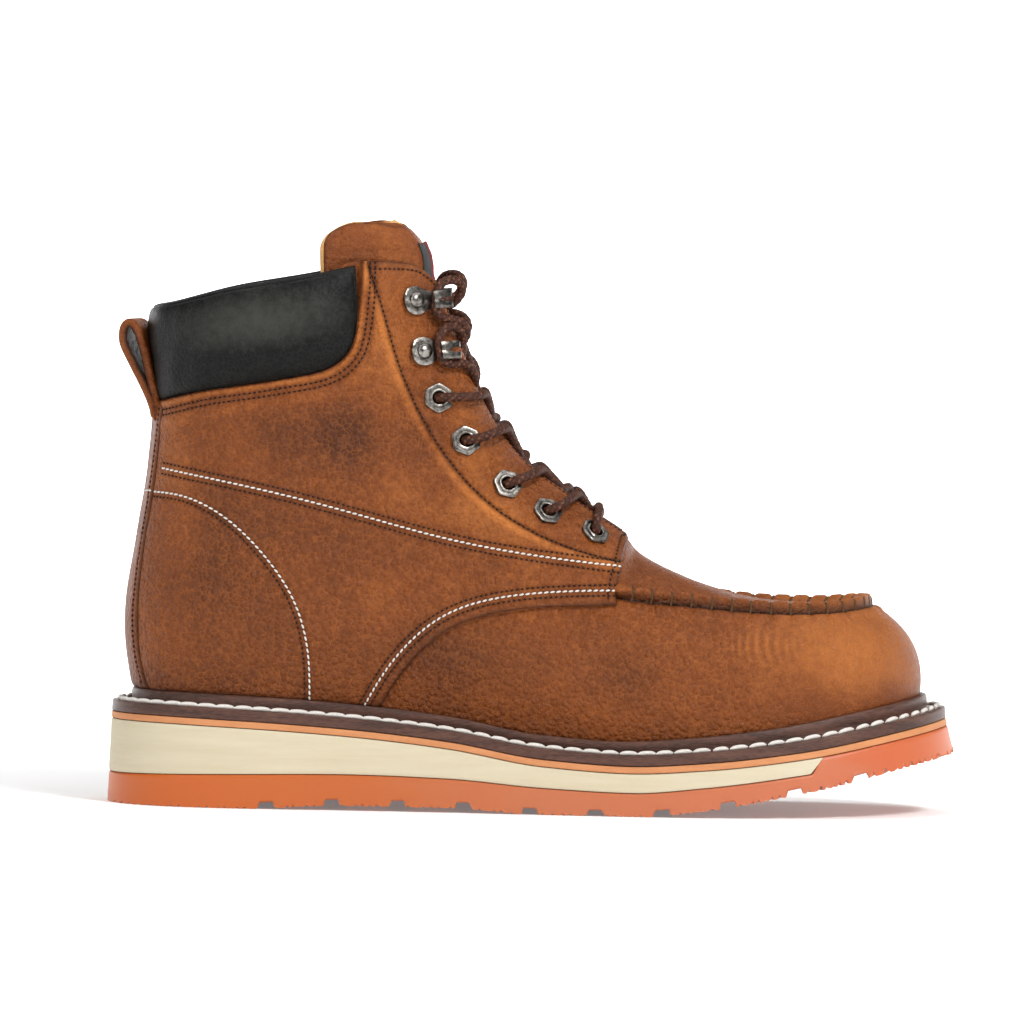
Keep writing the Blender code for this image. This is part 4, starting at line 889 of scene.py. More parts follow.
def toeCreases(points):  # fan of short upright creases under the moc seam: sine troughs inside a soft oval
    look = toeFan
    x, z = points[..., 0], points[..., 2]
    ahead = x - look["x"]
    wave = np.sin((x + 0.25 * z + 1.3 * np.sin(z / 4.1) + 1.2 * np.sin(x / 5.3)) * math.tau / look["pitch"])
    return (0.5 + 0.5 * wave) ** 2 * hump(ahead, look["wide"]) * hump(z - look["z"] + 0.08 * ahead, look["high"])


def flexCreases(points):  # long shallow troughs across the flex of the vamp, each with its X, lean, depth and width
    x, z = points[..., 0], points[..., 2]
    total, above = np.zeros(x.shape), z - flexFolds["z"]
    for at, lean, deep, wide in flexFolds["folds"]:
        total -= deep * hump(x - at - lean * above + 1.5 * np.sin(z / 6.0), wide) * hump(above, flexFolds["high"])
    return total


sock = dict(columns=180, rows=36, top=0.985, lower=0.03, thick=0.8)


def makeLining():
    # sock of the whole inside, a little lower where the throat is open and joined where it is closed
    look = sock
    turns = np.linspace(-180, 180, look["columns"], endpoint=False)
    top = look["top"] - look["lower"] * (1 - smooth(106, upperCut["throatEnd"], np.abs(turns)))
    rise = np.linspace(0, 1, look["rows"])[None, :] * top[:, None]
    deep = upperCut["lining"]
    face, normal = skinFrame(turns[:, None], rise + 0 * turns[:, None])
    outer, inner = face - normal * (deep - look["thick"]), face - normal * deep
    closed = np.abs(turns) >= upperCut["throatEnd"]
    mirror = (-np.arange(len(turns))) % len(turns)
    for grid in (outer, inner):
        grid[closed, -1] = (grid[closed, -1] + grid[mirror[closed], -1]) / 2
    rows, cols = outer.shape[:2]
    count = rows * cols
    i = np.arange(rows)
    j = (i + 1) % rows
    rim = np.stack([i * cols, i * cols + count, j * cols + count, j * cols], -1) + cols - 1
    rim = rim[~(closed[i] & closed[j])]
    foot = np.stack([j * cols, j * cols + count, i * cols + count, i * cols], -1)
    sheets = [gridQuads(rows, cols, loopRows=True), gridQuads(rows, cols, count, loopRows=True)[:, ::-1]]
    points = np.concatenate([outer.reshape(-1, 3), inner.reshape(-1, 3)])
    piece = buildPiece("sockLining", points, np.concatenate([*sheets, rim, foot]), [liningCloth])


def makeVamp():
    # leather from the feather edge to the top line, rolled up at the moc seam: w is mm across that seam, u mm along it
    look = vamp
    around = np.linspace(-(180 - look["backTurn"]), 180 - look["backTurn"], look["columns"] * 2 + 1)
    turns = wrapped(np.where(around < 0, -180 - around, 180 - around))
    turns[len(turns) // 2] = 180
    shoulder, top = skin(turns, 0.5), skin(turns, 1.0)
    span = np.linalg.norm(top - shoulder, axis=-1)
    # hidden columns under the quarters stop a little above the quarter's edge
    edge = riseAt(turns, lambda x: taut(vampEdge["x"], vampEdge["z"], x)) + 0.1
    reach = np.where(np.abs(turns) < 96, np.minimum(edge, 1.0), 1.0)
    low = 0.5 * np.linspace(0, 1, look["lowRows"]) ** 0.9
    nearMm = np.linspace(0, 1, look["seamRows"])[1:] ** 1.25 * look["seamSpan"]
    near = 0.5 + 0.5 * np.minimum(nearMm[None, :] / span[:, None], 0.45)
    rest = near[:, -1:] + (1 - near[:, -1:]) * np.linspace(0, 1, look["topRows"])[None, 1:]
    rise = np.concatenate([np.repeat(low[None], len(turns), 0), near, rest], axis=1)
    rise = np.minimum(rise, reach[:, None])
    face, normal = skinFrame(turns[:, None] + 0 * rise, rise)
    w = lengthsAlong(face, 1)
    w -= w[:, look["lowRows"] - 1][:, None]
    u = along(skin(turns, 0.5))
    u = (u - u[len(u) // 2])[:, None]
    seam = smooth(*look["seamTurns"], np.abs(turns))[:, None]
    edgeFade = 1 - smooth(0.985, 1.0, rise)
    creases = flexCreases(face) - 0.22 * toeCreases(face) + 0.16 * soften(face, 24, 11)
    height = seam * ridgeHeight(w, u, look) + creases * edgeFade
    outer = face + normal * height[..., None]
    deep = face - normal * look["leather"]
    closed = np.abs(turns) >= upperCut["throatEnd"]
    deep[closed, -1] = ((deep + deep[::-1]) / 2)[closed, -1]
    tone, grain = hideMarks(face)
    tight = hump((u / look["threadPitch"] + 0.5) % 1 - 0.5, 0.1)
    # painted shadow: the seam mark darkens the crease under the moc ridge and the pinches at each thread
    dark = seam * (0.95 * hump(w + 0.1, 0.8) + 0.35 * tight * smooth(0, 0.4, w) * (1 - smooth(3, 4.4, w)))
    tone = tone + 0.24 * toeCreases(face) + 0.1 * seam * smooth(0.6, 2, w) * (1 - smooth(3, 6, w))
    marks = {"tone": tone, "grain": grain, "seam": np.clip(dark, 0, 1)}
    piece = shellPiece("vampAndPlug", outer, deep, 10, [brown], marks)
    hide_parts("upper")
    # threads over the ridge, one at each pinch
    visible = np.abs(turns) > look["threadTurn"]
    reachU = np.abs(u[visible, 0]).max()
    count = int(reachU / look["threadPitch"])
    places = np.arange(-count, count + 1) * look["threadPitch"]
    order = np.argsort(u[:, 0])
    at = np.interp(places, u[order, 0], np.arange(len(turns))[order])
    column = np.round(at).astype(int)
    rows = np.searchsorted(nearMm, np.linspace(0.05, look["threadReach"], 14)) + look["lowRows"]
    path = outer[column][:, rows] + normal[column][:, rows] * 0.12
    path[:, 0] -= normal[column][:, rows[0]] * 0.5
    path[:, -1] -= normal[column][:, rows[-1]] * 0.7
    start = np.zeros(path.shape) + normal[column][:, rows[:1]]
    points = tubePoints(path, np.full(path.shape[:2], look["threadThick"]), 6, start)
    quads, odd = tubeFaces(path.shape[1], 6, len(path))
    buildPiece("mocThreads", points.reshape(-1, 3), quads, [mocThread], odd)
    print("moc threads:", len(path))


makeLining()
makeVamp()

# Quarters: seams drawn on the side view, X and Z in mm, each drawn along its white row or its single row
seams = dict(
    middle=drawn([(-134, 120.3), (-103, 114.7), (-66.6, 106.3), (-30.3, 97.1), (5.7, 91.0), (31, 87.6)]),
    counter=drawn([(-140, 111.8), (-127.6, 110.9), (-112.6, 104.6), (-97.2, 91.0), (-85.8, 74.6), (-80.6, 57.5),
                   (-79.6, 38)]),
    eyestay=drawn([(-61.2, 194.5), (-56.4, 180), (-50.8, 162), (-43.5, 144.4), (-32.5, 126.5), (-19.9, 112.6),
                   (-2.3, 100.7), (15.9, 93.4), (31, 89.6)]),
    pad=drawn([(-141, 142.5), (-134.8, 144.1), (-121.5, 147.8), (-103.5, 150.9), (-85.5, 154.1), (-72.9, 157.9),
               (-66.9, 163.8), (-64.6, 172.8), (-63.5, 187.1), (-63.0, 200)]),
    vamp=drawn(list(zip(vampEdge["x"], vampEdge["z"]))),
)
quarter = dict(
    backTurn=14.9, groove=0.26, grooveWide=0.6, rowGap=1.95, counterGap=1.75, bindRows=(3.1, 5.0),
    vampRows=(3.4, 5.2, 7.1), edgeRow=2.7, frontRow=2.9, reach=-1.2, holeRadius=2.5, innerBulge=5.2, rollDown=0.9,
)
eyelets = [(21.3, 100.1), (4.2, 107.4), (-10.3, 116.9), (-25.3, 132.2), (-35.3, 147.2)]
hooks = [(-40.9, 163.8), (-44.1, 181.8)]


def seamField(line, x, z, endless=False):
    # signed distance to a drawn line, left of its travel positive, from the nearest of its short steps; 99 past its ends
    flat = np.stack([x.ravel(), z.ravel()], axis=-1)
    step = unit(np.gradient(line, axis=0))
    found = np.empty(len(flat))
    for part in np.array_split(np.arange(len(flat)), max(1, len(flat) // 6000)):
        k = ((flat[part, None] - line[None]) ** 2).sum(-1).argmin(axis=1)
        off = flat[part] - line[k]
        found[part] = step[k, 0] * off[:, 1] - step[k, 1] * off[:, 0]
        if not endless:
            ended = ((k == 0) | (k == len(line) - 1)) & (np.abs((off * step[k]).sum(-1)) > 1.0)
            found[part] = np.where(ended, 99.0, found[part])
    return found.reshape(x.shape)


handCreases = columns(  # short wrinkles: place, reach, wave length, lean and height
    ("x", "z", "wide", "high", "pitch", "lean", "amount"),
    (-46.5, 172.6, 6.5, 6.0, 2.3, -0.35, 0.22), (-31.5, 139.5, 5.0, 5.0, 2.2, -0.6, 0.18),
    (-48.5, 150.5, 6.0, 8.0, 3.1, 0.12, 0.2), (-17.0, 124.5, 5.0, 5.0, 2.2, -0.7, 0.16),
    (-3.0, 111.5, 5.0, 4.0, 2.2, -0.8, 0.14), (-41.0, 155.0, 4.0, 4.0, 2.1, -0.4, 0.16),
)


def stayHalf(rise):  # half width of the heel strip in turn: it spreads towards its foot with the square of the way down
    return backstay["turn"] + 4.0 * np.clip(1 - rise / 0.2, 0, 1) ** 2


def quarterRelief(face, edges, look):
    # heights in mm over the panel: troughs at stitch rows, the eyestay's step, lips, wrinkles and round edges
    x, z = face[..., 0], face[..., 2]
    fromTop, fromFront, fromFoot, fromStay = edges
    deep, wide, gap = look["groove"], look["grooveWide"], look["rowGap"]
    middle, counter, eyestay, edge = (seamField(seams[name], x, z) for name in ("middle", "counter", "eyestay", "vamp"))
    binding = -seamField(seams["pad"], x, z, endless=True)
    throat = smooth(-62, -58, x)
    rows = sum(hump(middle - k * gap, wide) for k in (-1, 0, 1))
    rows = rows + hump(counter, wide) + hump(counter + look["counterGap"], wide)
    rows = rows + sum(hump(binding - k, wide) for k in look["bindRows"])
    rows = rows + sum(hump(edge - k, wide) for k in look["vampRows"])
    rows = rows + hump(fromTop - look["edgeRow"], wide) * throat + hump(fromFront - look["frontRow"], wide)
    height = -deep * np.clip(rows, 0, 1.2)
    height += 0.3 * (1 - smooth(gap, gap + 3.5, np.abs(middle))) - 0.25 * np.exp(-np.abs(counter + 0.9) / 3.5)
    fold = np.where(np.abs(eyestay) > 90, 0.0, (1 - smooth(-1.3, 0.25, eyestay)) * np.exp(np.minimum(eyestay, 0) / 13.0))
    height += 1.05 * fold + 0.45 * hump(eyestay + 2.4, 1.9) - 0.5 * hump(eyestay - 0.35, 0.7)
    height += 0.5 * (1 - smooth(0.6, 2.6, binding)) + 0.35 * hump(binding - 8.2, 2.6) - 0.2 * hump(binding - 4.0, 2.0)
    for cx, cz, reachX, reachZ, pitch, lean, amount in zip(*handCreases.values()):
        wave = np.sin((z - lean * (x - cx) + 0.8 * np.sin((x - cx) / 3.0)) * math.tau / pitch)
        height += amount * wave * hump(x - cx, reachX) * hump(z - cz, reachZ)
    height += 0.2 * soften(face, 30, 21) + 0.1 * soften(face, 13, 22)
    height += 0.3 * soften(face, 1.7, 23) * (1 - smooth(0.4, 1.8, binding))  # frayed lip along the pad
    topEdge, footEdge = np.where(throat > 0.5, fromTop, 99), np.where(edge > 90, 99, edge)
    near = np.maximum(np.minimum(np.minimum(topEdge, fromFront), footEdge), 0)
    height -= 0.75 * np.exp(-near / 0.55) + 1.1 * np.exp(-np.maximum(fromFoot, 0) / 0.9)
    height -= look["rollDown"] * np.exp(-np.maximum(fromTop, 0) / 3.0) * throat
    for ex, ez in eyelets:
        height -= 3.6 * (1 - smooth(look["holeRadius"] - 0.7, look["holeRadius"] + 0.5, np.hypot(x - ex, z - ez)))
    seam = 0.3 * np.clip(rows, 0, 1) + 0.85 * np.exp(-near / 0.9) + 0.6 * hump(eyestay - 0.2, 0.7)
    seam = seam + 0.5 * (1 - smooth(0.1, 0.7, np.abs(binding))) + 0.5 * np.exp(-np.maximum(fromFoot, 0) / 0.9)
    # painted shadow along the quarter beside the heel strip's edge
    seam = seam + 0.6 * hump(fromStay, 1.3)
    # painted highlight: lighter tone along the crest of the eyestay's pillow, the ridge below the pad and the lip along
    # the pad
    paintedRidgeHighlight = 0.26 * hump(eyestay + 1.9, 1.6) + 0.12 * hump(binding - 8, 2.4) + 0.24 * hump(binding - 1.3, 0.9)
    # under the pad and the heel strip the panel runs on as a thin layer
    cover = np.maximum(1 - smooth(-0.9, 0.3, binding), 1 - smooth(-0.2, 1.3, fromStay))
    return height, np.clip(seam, 0, 1), paintedRidgeHighlight, cover


def makeQuarter(side, name, count, rows):
    # panel from the welt or the vamp's edge up to the top line, off the vamp by its own thickness and its relief
    look = quarter
    turns = np.linspace(look["backTurn"], upperCut["quarterEnd"], count)
    signed = side * turns
    foot = overSole(signed, weltEdge + weltLip + 0.25)
    low = np.maximum(foot, riseAt(signed, lambda x: taut(vampEdge["x"], vampEdge["z"], x)))
    span = np.linalg.norm(skin(signed, 1.0) - skin(signed, 0.5), axis=-1)
    over = look["reach"] * smooth(84, 90, turns) * (1 - 0.6 * smooth(103, 107, turns))
    over = over + (look["innerBulge"] * hump(turns - 92.8, 1.9) if side > 0 else 0.0)
    high = 1.0 + 0.5 * over / span - 0.05 * (1 - smooth(62, 66, turns))
    rise = low[:, None] + (high - low)[:, None] * np.linspace(0, 1, rows)
    face, normal = skinFrame(signed[:, None] + 0 * rise, rise)
    base = upperCut["sewnGap"] + upperCut["quarter"]
    seen = face + normal * base
    upward, forward = lengthsAlong(seen, 1), lengthsAlong(seen, 0)
    fromTop, fromFront = upward[:, -1:] - upward, forward[-1:] - forward
    fromFoot = np.where((foot >= low - 1e-6)[:, None], upward, 99.0)
    fromStay = (turns[:, None] - stayHalf(rise)) * 2.1
    height, seam, paintedRidgeHighlight, cover = quarterRelief(seen, (fromTop, fromFront, fromFoot, fromStay), look)
    height = (base + height) * (1 - cover) + 0.3 * cover
    under = upperCut["sewnGap"] * (1 - cover) + 0.05 * cover
    outer, inner = face + normal * height[..., None], face + normal * under[..., None]
    tone, grain = hideMarks(seen)
    # the tone mark carries the painted highlight along the ridges
    marks = {"tone": tone + paintedRidgeHighlight, "grain": grain, "seam": seam}
    piece = shellPiece("quarter" + name.title(), outer, inner, 8, [brown, rawEdge], marks, backSlot=1)
    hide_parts("quarter_" + name)
    return dict(seen=seen, outer=outer, normal=normal, fromTop=fromTop, fromFront=fromFront)


backstay = dict(turn=14.4, columns=61, rows=150, mid=2.2, edge=2.6, row=2.4, under=0.36, crossRow=111.3)
panels = {-1: makeQuarter(-1, "lateral", 350, 262), 1: makeQuarter(1, "medial", 256, 190)}


def sampleGrid(grid, i, j):  # bilinear value of a grid at fractional places
    i, j = np.clip(i, 0, grid.shape[0] - 1.001), np.clip(j, 0, grid.shape[1] - 1.001)
    a, b = i.astype(int), j.astype(int)
    s, t = (i - a)[:, None], (j - b)[:, None]
    return (grid[a, b] * (1 - s) + grid[a + 1, b] * s) * (1 - t) + (grid[a, b + 1] * (1 - s) + grid[a + 1, b + 1] * s) * t


def onPanel(panel, places):
    # fractional grid places for points of the side view: nearest of every sixth grid point, then Newton steps
    plane = panel["seen"][..., [0, 2]]
    coarse = plane[::6, ::6]
    k = ((places[:, None] - coarse.reshape(1, -1, 2)) ** 2).sum(-1).argmin(axis=1)
    i, j = (6.0 * v for v in np.divmod(k, coarse.shape[1]))
    for _ in range(7):
        miss = places - sampleGrid(plane, i, j)
        p = sampleGrid(plane, i + 0.5, j) - sampleGrid(plane, i - 0.5, j)
        q = sampleGrid(plane, i, j + 0.5) - sampleGrid(plane, i, j - 0.5)
        area = p[:, 0] * q[:, 1] - p[:, 1] * q[:, 0]
        area = np.where(np.abs(area) < 1e-6, 1e-6, area)
        i = np.clip(i + np.clip((miss[:, 0] * q[:, 1] - miss[:, 1] * q[:, 0]) / area, -6, 6), 0, plane.shape[0] - 1)
        j = np.clip(j + np.clip((p[:, 0] * miss[:, 1] - p[:, 1] * miss[:, 0]) / area, -6, 6), 0, plane.shape[1] - 1)
    return i, j, np.linalg.norm(places - sampleGrid(plane, i, j), axis=1) < 0.5


# Collar pad, heel strip, pull loop and tongue

# sheen is the X and Z of the middle of the painted highlight on the pad
pad = dict(columns=230, steps=4, back=1.0, side=6.0, bulge=2.6, end=67.5, sheen=(-99.0, 174.0), fill=0.7)
padProfile = columns(  # share of the way up, lift in mm, share of the swell, and mm above the top line
    ("up", "lift", "swell", "over"),
    (0.02, 0.34, 0, 0), (-0.012, 0.5, 0, 0), (0.0, 1.3, 0.1, 0), (0.035, 1.4, 0.42, 0), (0.12, 1.4, 0.82, 0),
    (0.26, 1.4, 1.02, 0), (0.44, 1.4, 1.06, 0), (0.62, 1.4, 0.97, 0), (0.78, 1.4, 0.8, 0), (0.89, 1.4, 0.6, 0),
    (0.945, 1.3, 0.42, 0), (0.96, 0.9, 0.3, 0), (0.965, 0.9, 0.28, 0.4), (0.98, 0.6, 0.1, 0.5), (0.98, -1.2, 0, 0.5),
    (0.965, -3.3, 0, 0), (0.92, -3.7, 0, 0), (0.88, -2.5, 0, 0), (0.86, 0.3, 0, 0), (0.5, 0.34, 0, 0),
)


def makeCollarPad():
    # closed section carried round the heel: the profile's lift plus its share of the swell, with uneven stuffing
    look = pad
    turns = np.linspace(-look["end"], look["end"], look["columns"])
    low = riseAt(turns, lambda x: taut(padEdge["x"], padEdge["z"], x))
    around = np.abs(turns) / look["end"]
    swell = look["back"] + (look["side"] - look["back"]) * np.clip(around / 0.6, 0, 1)
    swell *= np.sqrt(np.clip((1 - around) / 0.12, 0, 1))
    controls = []
    for up, lift, share, over in zip(*padProfile.values()):
        face, normal = skinFrame(turns, low + (1 - low) * up)
        full = lift + swell * share + look["bulge"] * hump(turns, 38) * smooth(0.25, 0.8, up) * share
        if share > 0.3:
            uneven = 0.5 * soften(face, 26, 30) + 0.26 * soften(face, 11, 31) + 0.1 * soften(face, 5, 32)
            full = full + uneven * np.clip(swell / 3, 0, 1)
        raised = over + (2.3 * hump(turns, 26) - 1.3 * smooth(34, 58, np.abs(turns))) * smooth(0.5, 0.95, up)
        controls.append(face + normal * full[:, None] + np.array([0, 0, 1.0]) * raised[:, None])
    points = roundedLoop(controls, look["steps"])
    rows, cols = points.shape[:2]
    plain = np.zeros((rows, cols))
    aheadOf, above = points[..., 0] - look["sheen"][0], points[..., 2] - look["sheen"][1]
    # painted highlight: the pad's tone is raised in a soft patch on its upper middle
    paintedSheen = hump(aheadOf, 34) * hump(above - 0.13 * aheadOf, 11.5)
    marks = {"tone": 0.38 * paintedSheen - 0.1, "grain": plain + 0.5, "seam": plain}
    quads = gridQuads(rows, cols, loopCols=True)
    piece = buildPiece("collarPad", points, quads, [black], flatEnds(rows, cols), marks=marks)
    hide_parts("collar_pad")


def makeBackstay():
    # strip over the heel seam: from edge height to middle height, troughs at its two rows, thin at its top
    look = backstay
    share = np.linspace(-1, 1, look["columns"])
    low = overSole(look["turn"] * share, weltEdge + weltLip + 0.25)
    high = riseAt(look["turn"] * share, lambda x: taut(padEdge["x"], padEdge["z"], x) + 0.5)
    rise = low[:, None] + (high - low)[:, None] * np.linspace(0, 1, look["rows"])
    turn = share[:, None] * (stayHalf(rise) + 0.15)
    face, normal = skinFrame(turn, rise)
    across, upward = lengthsAlong(face, 0), lengthsAlong(face, 1)
    fromEdge = np.minimum(across, across[-1:] - across)
    fromTop = upward[:, -1:] - upward
    height = look["edge"] + (look["mid"] - look["edge"]) * smooth(0, 9, fromEdge)
    rows = hump(fromEdge - look["row"], 0.6)
    height -= 0.34 * rows + 0.8 * np.exp(-fromEdge / 0.45) + 1.1 * np.exp(-upward / 0.9)
    height += 0.12 * soften(face, 17, 41) - 2.0 * (1 - smooth(0.2, 2.0, fromTop))
    outer, inner = face + normal * height[..., None], face + normal * look["under"]
    tone, grain = hideMarks(face)
    seam = np.clip(0.3 * rows + 0.7 * np.exp(-fromEdge / 0.7) + 0.5 * np.exp(-upward / 0.9), 0, 1)
    marks = {"tone": tone - 0.04, "grain": grain * 0.8, "seam": seam}
    piece = shellPiece("heelStrip", outer, inner, 6, [brown, rawEdge], marks, 1)
    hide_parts("backstay")
    return dict(outer=outer, normal=normal, across=across)


loop = dict(thick=3.2, half=9.0, round=1.2, stations=150, twist=13.0, hinge=-144.0)
loopLine = columns(
    ("x", "z"), (-149.1, 167.2), (-148.6, 164.0), (-145.3, 157.9), (-141.8, 151.5), (-139.2, 146.0), (-137.4, 141.2),
    (-136.9, 137.6), (-136.1, 141.2), (-137.0, 145.4), (-138.1, 149.7), (-139.3, 155.1), (-140.5, 159.8), (-142.0, 165.2),
    (-143.8, 169.9), (-146.3, 172.4), (-148.6, 170.8),
)


def closedCurve(points, count):  # quadratic B-spline through the middles of a closed polygon's sides
    rows = roundedLoop([p[None] for p in points], 12)[0]
    rows = np.concatenate([rows, rows[:1]])
    run = along(rows)
    where = np.arange(count) * run[-1] / count
    return np.stack([np.interp(where, run, rows[:, k]) for k in range(rows.shape[1])], axis=-1)


def makePullLoop():
    # strap section carried round its closed line of the side view, then twisted about the upright at its hinge
    look = loop
    ridge = closedCurve(np.stack([loopLine["x"], loopLine["z"]], axis=-1), look["stations"])
    ahead = unit(np.roll(ridge, -1, axis=0) - np.roll(ridge, 1, axis=0))
    square = np.stack([-ahead[:, 1], ahead[:, 0]], axis=-1)
    half, thin, r = look["half"], look["thick"] / 2, look["round"]
    corner = np.linspace(0, math.pi / 2, 4)
    flat = np.linspace(-(half - r), half - r, 23)
    right = np.stack([half - r + r * np.sin(corner), thin - r + r * np.cos(corner)], -1)
    top = np.stack([flat, np.full(23, thin)], -1)
    ring = np.concatenate([
        top, right[1:], (right * [1, -1])[::-1][:-1], (top * [1, -1])[::-1], (right * [-1, -1])[1:],
        (right * [-1, 1])[::-1][:-1],
    ])
    x = ridge[:, None, 0] + square[:, None, 0] * ring[None, :, 1]
    z = ridge[:, None, 1] + square[:, None, 1] * ring[None, :, 1]
    turn = np.radians(look["twist"]) * smooth(141, 156, z)
    off, wide = x - look["hinge"], np.broadcast_to(ring[None, :, 0], x.shape)
    x = off * np.cos(turn) + wide * np.sin(turn) + look["hinge"] + 1.6 * np.sin(turn) * half / 2
    points = np.stack([x, wide * np.cos(turn) - off * np.sin(turn), z], axis=-1)
    rows, cols = points.shape[:2]
    out = np.sign(((ridge - ridge.mean(axis=0)) * square).sum())
    inside = smooth(-0.1, 0.9, -out * ring[:, 1] / thin)  # painted shade: the loop's inner face is dark
    tone, grain = hideMarks(points)
    marks = {"tone": tone + 0.05, "grain": grain * 0.6, "seam": np.broadcast_to(0.95 * inside, (rows, cols))}
    quads = gridQuads(rows, cols, loopRows=True, loopCols=True)
    piece = buildPiece("pullLoop", points, quads, [brown], marks=marks, sharp=50)
    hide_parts("pull_loop")


tongue = dict(rows=132, across=73, fill=0.6, hem=2.2, lip=1.1, patch=(188.0, 201.5), patchHalf=17.0, bandHalf=6.5)
tongueRows = columns(
    ("edgeTurn", "edgeRise", "wingTurn", "wingRise", "sink", "crown", "up", "thick"),
    (114, 0.9, 114, 0.76, 0.6, 0.1, 0, 2.0), (107, 0.98, 107, 0.82, 1.6, 0, 0, 2.4),
    (102, 1, 100, 0.8, 0.9, 0.5, 0, 3.0), (97, 1, 94, 0.8, 0.9, 0.5, 0, 3.6), (92, 1, 86, 0.82, 0.9, 0.5, 0, 4.2),
    (87, 1, 75, 0.88, 0.9, 0.8, 0, 4.8), (82, 1, 62.0, 0.96, 1.2, 0.9, 0, 5.4), (82, 1, 61.8, 0.985, 1.8, 0.6, 5.6, 5.8),
    (81.6, 1, 62.0, 1, 2.4, 0.3, 9.8, 5.6), (81.0, 1, 62.7, 1, 3.0, 0.0, 12.8, 4.9),
    (80.3, 1, 64.0, 1, 3.5, -0.3, 14.7, 4.0), (79.6, 1, 65.8, 1, 4.0, -0.6, 15.9, 3.0),
    (79.0, 1, 68.0, 1, 4.4, -0.8, 16.4, 2.2),
)


def tongueFace(count, across):
    # rows from wing to wing under the throat's edges: four places a side, a raised middle, and a batten through the nine
    given = np.arange(len(tongueRows["up"])) * 1.0
    row = {name: taut(given, values, np.linspace(0, given[-1], count))[:, None] for name, values in tongueRows.items()}
    share = np.linspace(0, 1, 4)[None]
    turn = row["wingTurn"] + (row["edgeTurn"] - row["wingTurn"]) * share
    rise = row["wingRise"] + (row["edgeRise"] - row["wingRise"]) * share
    depth = -(upperCut["lining"] + 0.3 + row["sink"]) + 0 * share
    left, right = lifted(-turn, rise, depth), lifted(turn, rise, depth)
    push = left[:, -1] - lifted(-turn, rise, depth - 1)[:, -1] + right[:, -1] - lifted(turn, rise, depth - 1)[:, -1]
    middle = (left[:, -1] + right[:, -1]) / 2 + unit(push * np.array([1, 0, 1])) * row["crown"]
    points = np.concatenate([left, middle[:, None], right[:, ::-1]], axis=1)
    points[..., 2] += row["up"]
    level = np.array([-0.8, -0.6, 0.8, 1.6, 1.4, 1.6, 0.8, -0.6, -0.8])  # the top is cut level from wing to middle
    points[..., 2] += level[None] * smooth(0, 16, row["up"]) - 1.2 * smooth(4, 16, row["up"])
    fine = batten(np.arange(9.0), points.transpose(1, 0, 2).reshape(9, -1), np.linspace(0, 8, across))
    fine = fine.reshape(across, count, 3).transpose(1, 0, 2)
    normal = unit(np.cross(np.gradient(fine, axis=0), np.gradient(fine, axis=1)))
    normal *= np.sign((normal[:, across // 2] * np.array([1.0, 0, 0.5])).sum(-1).mean())
    return fine, normal, row["thick"]


def makeTongue():
    # stuffed sheet: leather puffed in front, lining behind it by the thickness, thinner near the hem
    look = tongue
    face, normal, thick = tongueFace(look["rows"], look["across"])
    across, upward = lengthsAlong(face, 1), lengthsAlong(face, 0)
    fromSide = np.minimum(across, across[:, -1:] - across)
    fromTop = upward[-1:] - upward
    edge = np.minimum(fromSide, fromTop)
    rows = hump(edge - look["hem"], 0.6)
    puff = 0.7 * smooth(2.5, 9, edge) - 0.3 * rows - 0.9 * np.exp(-edge / 0.6) + 0.14 * soften(face, 14, 51)
    puff += 0.3 * soften(face * np.array([0.5, 0.5, 2.2]), 9, 52) * smooth(3, 8, edge)
    outer = face + normal * puff[..., None]
    inner = face - normal * (thick * (0.75 + 0.25 * smooth(0, 4, edge)))[..., None]
    # the lining stands out past the leather along the sides and the top
    aside, upway = unit(np.gradient(face, axis=1)), unit(np.gradient(face, axis=0))
    half = np.linspace(-1, 1, face.shape[1])[None, :, None]
    sideways = np.exp(-fromSide / 2.0)[..., None] * aside * np.sign(half)
    past = look["lip"] * (sideways + np.exp(-fromTop / 2.0)[..., None] * upway)
    inner = inner + past * smooth(150, 185, face[..., 2])[..., None]
    tone, grain = hideMarks(face)
    seam = np.clip(0.5 * rows + 0.5 * np.exp(-edge / 0.6), 0, 1)
    marks = {"tone": tone - 0.02, "grain": grain, "seam": seam}
    piece = shellPiece("paddedTongue", outer, inner, 1, [brown, liningCloth], marks, 1)
    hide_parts("tongue")
    # plain woven patch sewn on the front
    middleZ = face[:, look["across"] // 2, 2]
    row = np.nonzero((middleZ > look["patch"][0]) & (middleZ < look["patch"][1]))[0]
    col = np.nonzero(np.abs(across[row].mean(axis=0) - across[row, -1].mean() / 2) < look["patchHalf"])[0]
    pick = np.ix_(row, col)
    aside = (across - across[:, -1:] / 2)[pick]
    band = 1 - smooth(look["bandHalf"] - 0.4, look["bandHalf"] + 0.4, np.abs(aside))
    woven, under = outer[pick] + normal[pick] * (0.6 + 1.3 * band)[..., None], (outer + normal * 0.02)[pick]
    patch = shellPiece("tonguePatch", woven, under, 1, [wovenPatch], {"band": band}, 0, 40)


threads = dict(
    white=dict(pitch=2.2, long=1.7, thick=0.38, arch=0.2), dark=dict(pitch=1.85, long=1.05, thick=0.34, arch=0.05),
)


def stitchesAlong(path, normals, pitch, long, thick, arch, slant=0.0):
    # pods at an even pitch along a path on the leather, each tilted by its slant
    run = along(path)
    count = max(1, int(run[-1] / pitch))
    centre = (np.arange(count) + 0.5) * run[-1] / count

    def at(values, where):
        return np.stack([np.interp(where, run, values[:, k]) for k in range(3)], axis=-1)

    start, end, normal = at(path, centre - long / 2), at(path, centre + long / 2), unit(at(normals, centre))
    across = unit(np.cross(normal, end - start)) * slant / 2
    return stitchPoints(start + across + normal * 0.06, end - across + normal * 0.06, normal, thick, arch)


